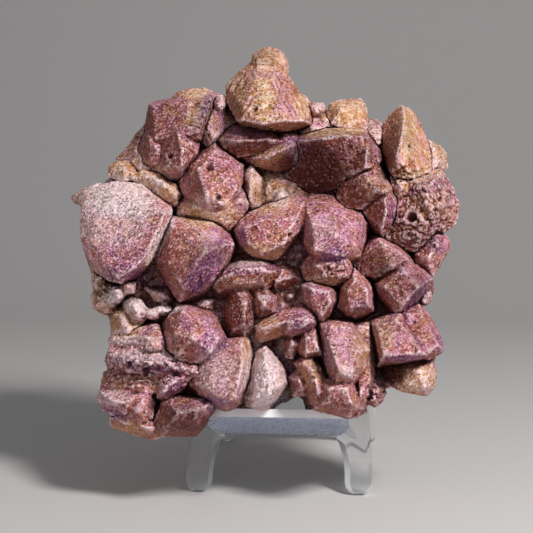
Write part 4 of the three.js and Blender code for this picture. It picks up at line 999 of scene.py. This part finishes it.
def make_floor(tint):
    """A floor that curves up behind the specimen."""
    bm = bmesh.new()
    ends = [bm.verts.new((side * SWEEP_HALF_WIDTH, -SWEEP_FRONT, 0)) for side in (-1, 1)]
    strip = [bm.edges.new(ends)]
    moved = bmesh.ops.extrude_edge_only(bm, edges=strip)["geom"]
    corners = [item for item in moved if isinstance(item, bmesh.types.BMVert)]
    bmesh.ops.translate(bm, verts=corners, vec=(0, SWEEP_FRONT + SWEEP_BACK, 0))
    edge = [item for item in moved if isinstance(item, bmesh.types.BMEdge)]
    bent = bmesh.ops.spin(
        bm, geom=edge + corners, cent=(0, SWEEP_BACK, SWEEP_RADIUS), axis=(1, 0, 0),
        angle=math.radians(90), steps=24,
    )["geom_last"]
    edge = [item for item in bent if isinstance(item, bmesh.types.BMEdge)]
    raised = bmesh.ops.extrude_edge_only(bm, edges=edge)["geom"]
    corners = [item for item in raised if isinstance(item, bmesh.types.BMVert)]
    bmesh.ops.translate(bm, verts=corners, vec=(0, 0, SWEEP_HEIGHT))
    bmesh.ops.recalc_face_normals(bm, faces=bm.faces)
    for face in bm.faces:
        face.smooth = True
    floor_mesh = bpy.data.meshes.new("floor")
    bm.to_mesh(floor_mesh)
    bm.free()
    floor = bpy.data.objects.new("floor", floor_mesh)
    bpy.context.scene.collection.objects.link(floor)
    pale = Nodes("Pale floor")
    pale.shader.inputs["Roughness"].default_value = 0.6
    pale.shader.inputs["Base Color"].default_value = tint
    floor_mesh.materials.append(pale.material)


def make_lights(stage):
    """A key lamp from the upper right, two soft fills and an even sky."""
    lamp("key", 0.18, stage.key_power, (0.47, -0.48, 0.67), MIDDLE, (1.0, 0.98, 0.96))
    lamp("low", 0.3, stage.low_power, (-0.12, -0.75, 0.06), (0.0, -0.04, 0.0), (0.90, 0.94, 1.0))
    lamp("fill", 0.9, stage.fill_power, (-0.7, -0.6, 0.35), MIDDLE, (0.95, 0.96, 1.0))
    world = bpy.data.worlds.new("Studio")
    bpy.context.scene.world = world
    world.use_nodes = True
    background = world.node_tree.nodes["Background"]
    background.inputs["Color"].default_value = (0.86, 0.87, 0.9, 1)
    background.inputs["Strength"].default_value = stage.sky


def make_camera():
    """The eye of the front view."""
    camera_data = bpy.data.cameras.new("view")
    camera_data.sensor_width = SENSOR
    camera_data.lens = LENS
    camera_data.clip_start = 0.01
    camera_data.clip_end = 20
    camera = bpy.data.objects.new("view", camera_data)
    bpy.context.scene.collection.objects.link(camera)
    turned = Matrix((RIGHT, ABOVE, TO_EYE)).transposed().to_4x4()
    turned.translation = Vector(EYE * MM)
    camera.matrix_world = turned
    bpy.context.scene.camera = camera
    bpy.context.scene.view_settings.view_transform = "Standard"


# ---------------------------------------------------------------- add-on


def colour_setting(name, description, default):
    return bpy.props.FloatVectorProperty(
        name=name, description=description, default=default, size=4, min=0, max=1, subtype="COLOR",
    )


def length_setting(name, description, millimetres, least, most):
    return bpy.props.FloatProperty(
        name=name, description=description, default=millimetres * MM, min=least * MM, max=most * MM,
        precision=5, unit="LENGTH",
    )


def power_setting(name, description, watts):
    return bpy.props.FloatProperty(
        name=name, description=description, default=watts, min=0, unit="POWER",
    )


class StoneSettings(bpy.types.PropertyGroup):
    crystal_face: length_setting("Crystal mesh", "Length of a crystal's mesh faces", CRYSTAL_FACE, 0.3, 2)
    matrix_face: length_setting("Matrix mesh", "Length of the rock's mesh faces", MATRIX_FACE, 0.5, 2)
    for tint, (use, default) in TINTS.items():
        __annotations__[tint] = colour_setting(tint.capitalize(), use, default)
    for kind, palette in PALETTES.items():
        for shade, default in zip(SHADES, palette):
            label = kind.capitalize() + ", " + shade
            use = "The " + shade + " colour of the " + kind + " stones"
            __annotations__[kind + "_" + shade] = colour_setting(label, use, default)
    del tint, use, default, kind, palette, shade, label


class EaselSettings(bpy.types.PropertyGroup):
    arris: length_setting("Arris", "Round on the sheet's arrises", ARRIS_ROUND, 0.05, 1)
    body_colour: colour_setting("Sheet", "What the clear sheet tints light", (0.80, 0.88, 0.96, 1))
    # the sawn edge colour also stands in for the glow of the polished side edges: painted glow
    sawn_and_glow_colour: colour_setting("Sawn edge", "The sheet's dull sawn edge", (0.97, 0.98, 1.0, 1))
    scuffed_colour: colour_setting("Tongue", "The tongue's scuffed faces", (0.74, 0.80, 0.97, 1))


class StageSettings(bpy.types.PropertyGroup):
    floor_colour: colour_setting("Floor", "The floor", colour(200, 198, 197))
    key_power: power_setting("Key light", "Power of the lamp at the upper right", 8.9)
    fill_power: power_setting("Fill light", "Power of the large lamp at the left", 0.75)
    low_power: power_setting("Low light", "Power of the low lamp in front of the easel", 1.1)
    sky: bpy.props.FloatProperty(
        name="Surroundings", description="Strength of the light from all round", default=0.2, min=0,
    )


class SPECIMEN_OT_crystals(bpy.types.Operator):
    """Make the coated crystals"""

    bl_idname = "specimen.crystals"
    bl_label = "Crystals"

    def execute(self, context):
        stones = context.scene.specimen_stones
        for slot in PALETTES:
            stone_material(slot, stones)
        tree = solids_tree()
        for number, node in enumerate(STONES):
            if node != "matrix":
                make_stone(node, stones.crystal_face, tree, number * 11 + 3)
        return {"FINISHED"}


class SPECIMEN_OT_matrix(bpy.types.Operator):
    """Make the rock that the crystals grow on, after the crystals"""

    bl_idname = "specimen.matrix"
    bl_label = "Matrix"

    def execute(self, context):
        make_stone("matrix", context.scene.specimen_stones.matrix_face, solids_tree(), 401)
        return {"FINISHED"}


class SPECIMEN_OT_easel(bpy.types.Operator):
    """Make the clear easel"""

    bl_idname = "specimen.easel"
    bl_label = "Easel"

    def execute(self, context):
        easel = context.scene.specimen_easel
        clear_material(easel)
        worn_material("Sawn edge and painted glow", easel.sawn_and_glow_colour, 0.12, 0.30, 0.50)
        worn_material("Scuffed acrylic", easel.scuffed_colour, 0.62, 0.22, 0.42)
        make_easel(easel.arris)
        return {"FINISHED"}


class SPECIMEN_OT_stage(bpy.types.Operator):
    """Make the floor, the lights and the camera"""

    bl_idname = "specimen.stage"
    bl_label = "Stage"

    def execute(self, context):
        stage = context.scene.specimen_stage
        make_floor(stage.floor_colour)
        make_lights(stage)
        make_camera()
        return {"FINISHED"}


class SPECIMEN_PT_panel(bpy.types.Panel):
    bl_label = "Specimen"
    bl_idname = "SPECIMEN_PT_panel"
    bl_space_type = "VIEW_3D"
    bl_region_type = "UI"
    bl_category = "Specimen"

    def draw(self, context):
        for name in OPERATORS:
            self.layout.operator("specimen." + name)
        for group, settings in SETTINGS.items():
            box = self.layout.box()
            box.label(text=group.capitalize())
            for name in settings.__annotations__:
                box.prop(getattr(context.scene, "specimen_" + group), name)


OPERATORS = ("stage", "crystals", "matrix", "easel")
SETTINGS = {"stones": StoneSettings, "easel": EaselSettings, "stage": StageSettings}
CLASSES = (
    *SETTINGS.values(), SPECIMEN_OT_crystals, SPECIMEN_OT_matrix, SPECIMEN_OT_easel,
    SPECIMEN_OT_stage, SPECIMEN_PT_panel,
)


def register():
    for kind in CLASSES:
        bpy.utils.register_class(kind)
    for group, settings in SETTINGS.items():
        setattr(bpy.types.Scene, "specimen_" + group, bpy.props.PointerProperty(type=settings))


def unregister():
    for group in SETTINGS:
        delattr(bpy.types.Scene, "specimen_" + group)
    for kind in reversed(CLASSES):
        bpy.utils.unregister_class(kind)


def main():
    register()
    for name in OPERATORS:
        getattr(bpy.ops.specimen, name)()


if __name__ == "__main__":
    main()
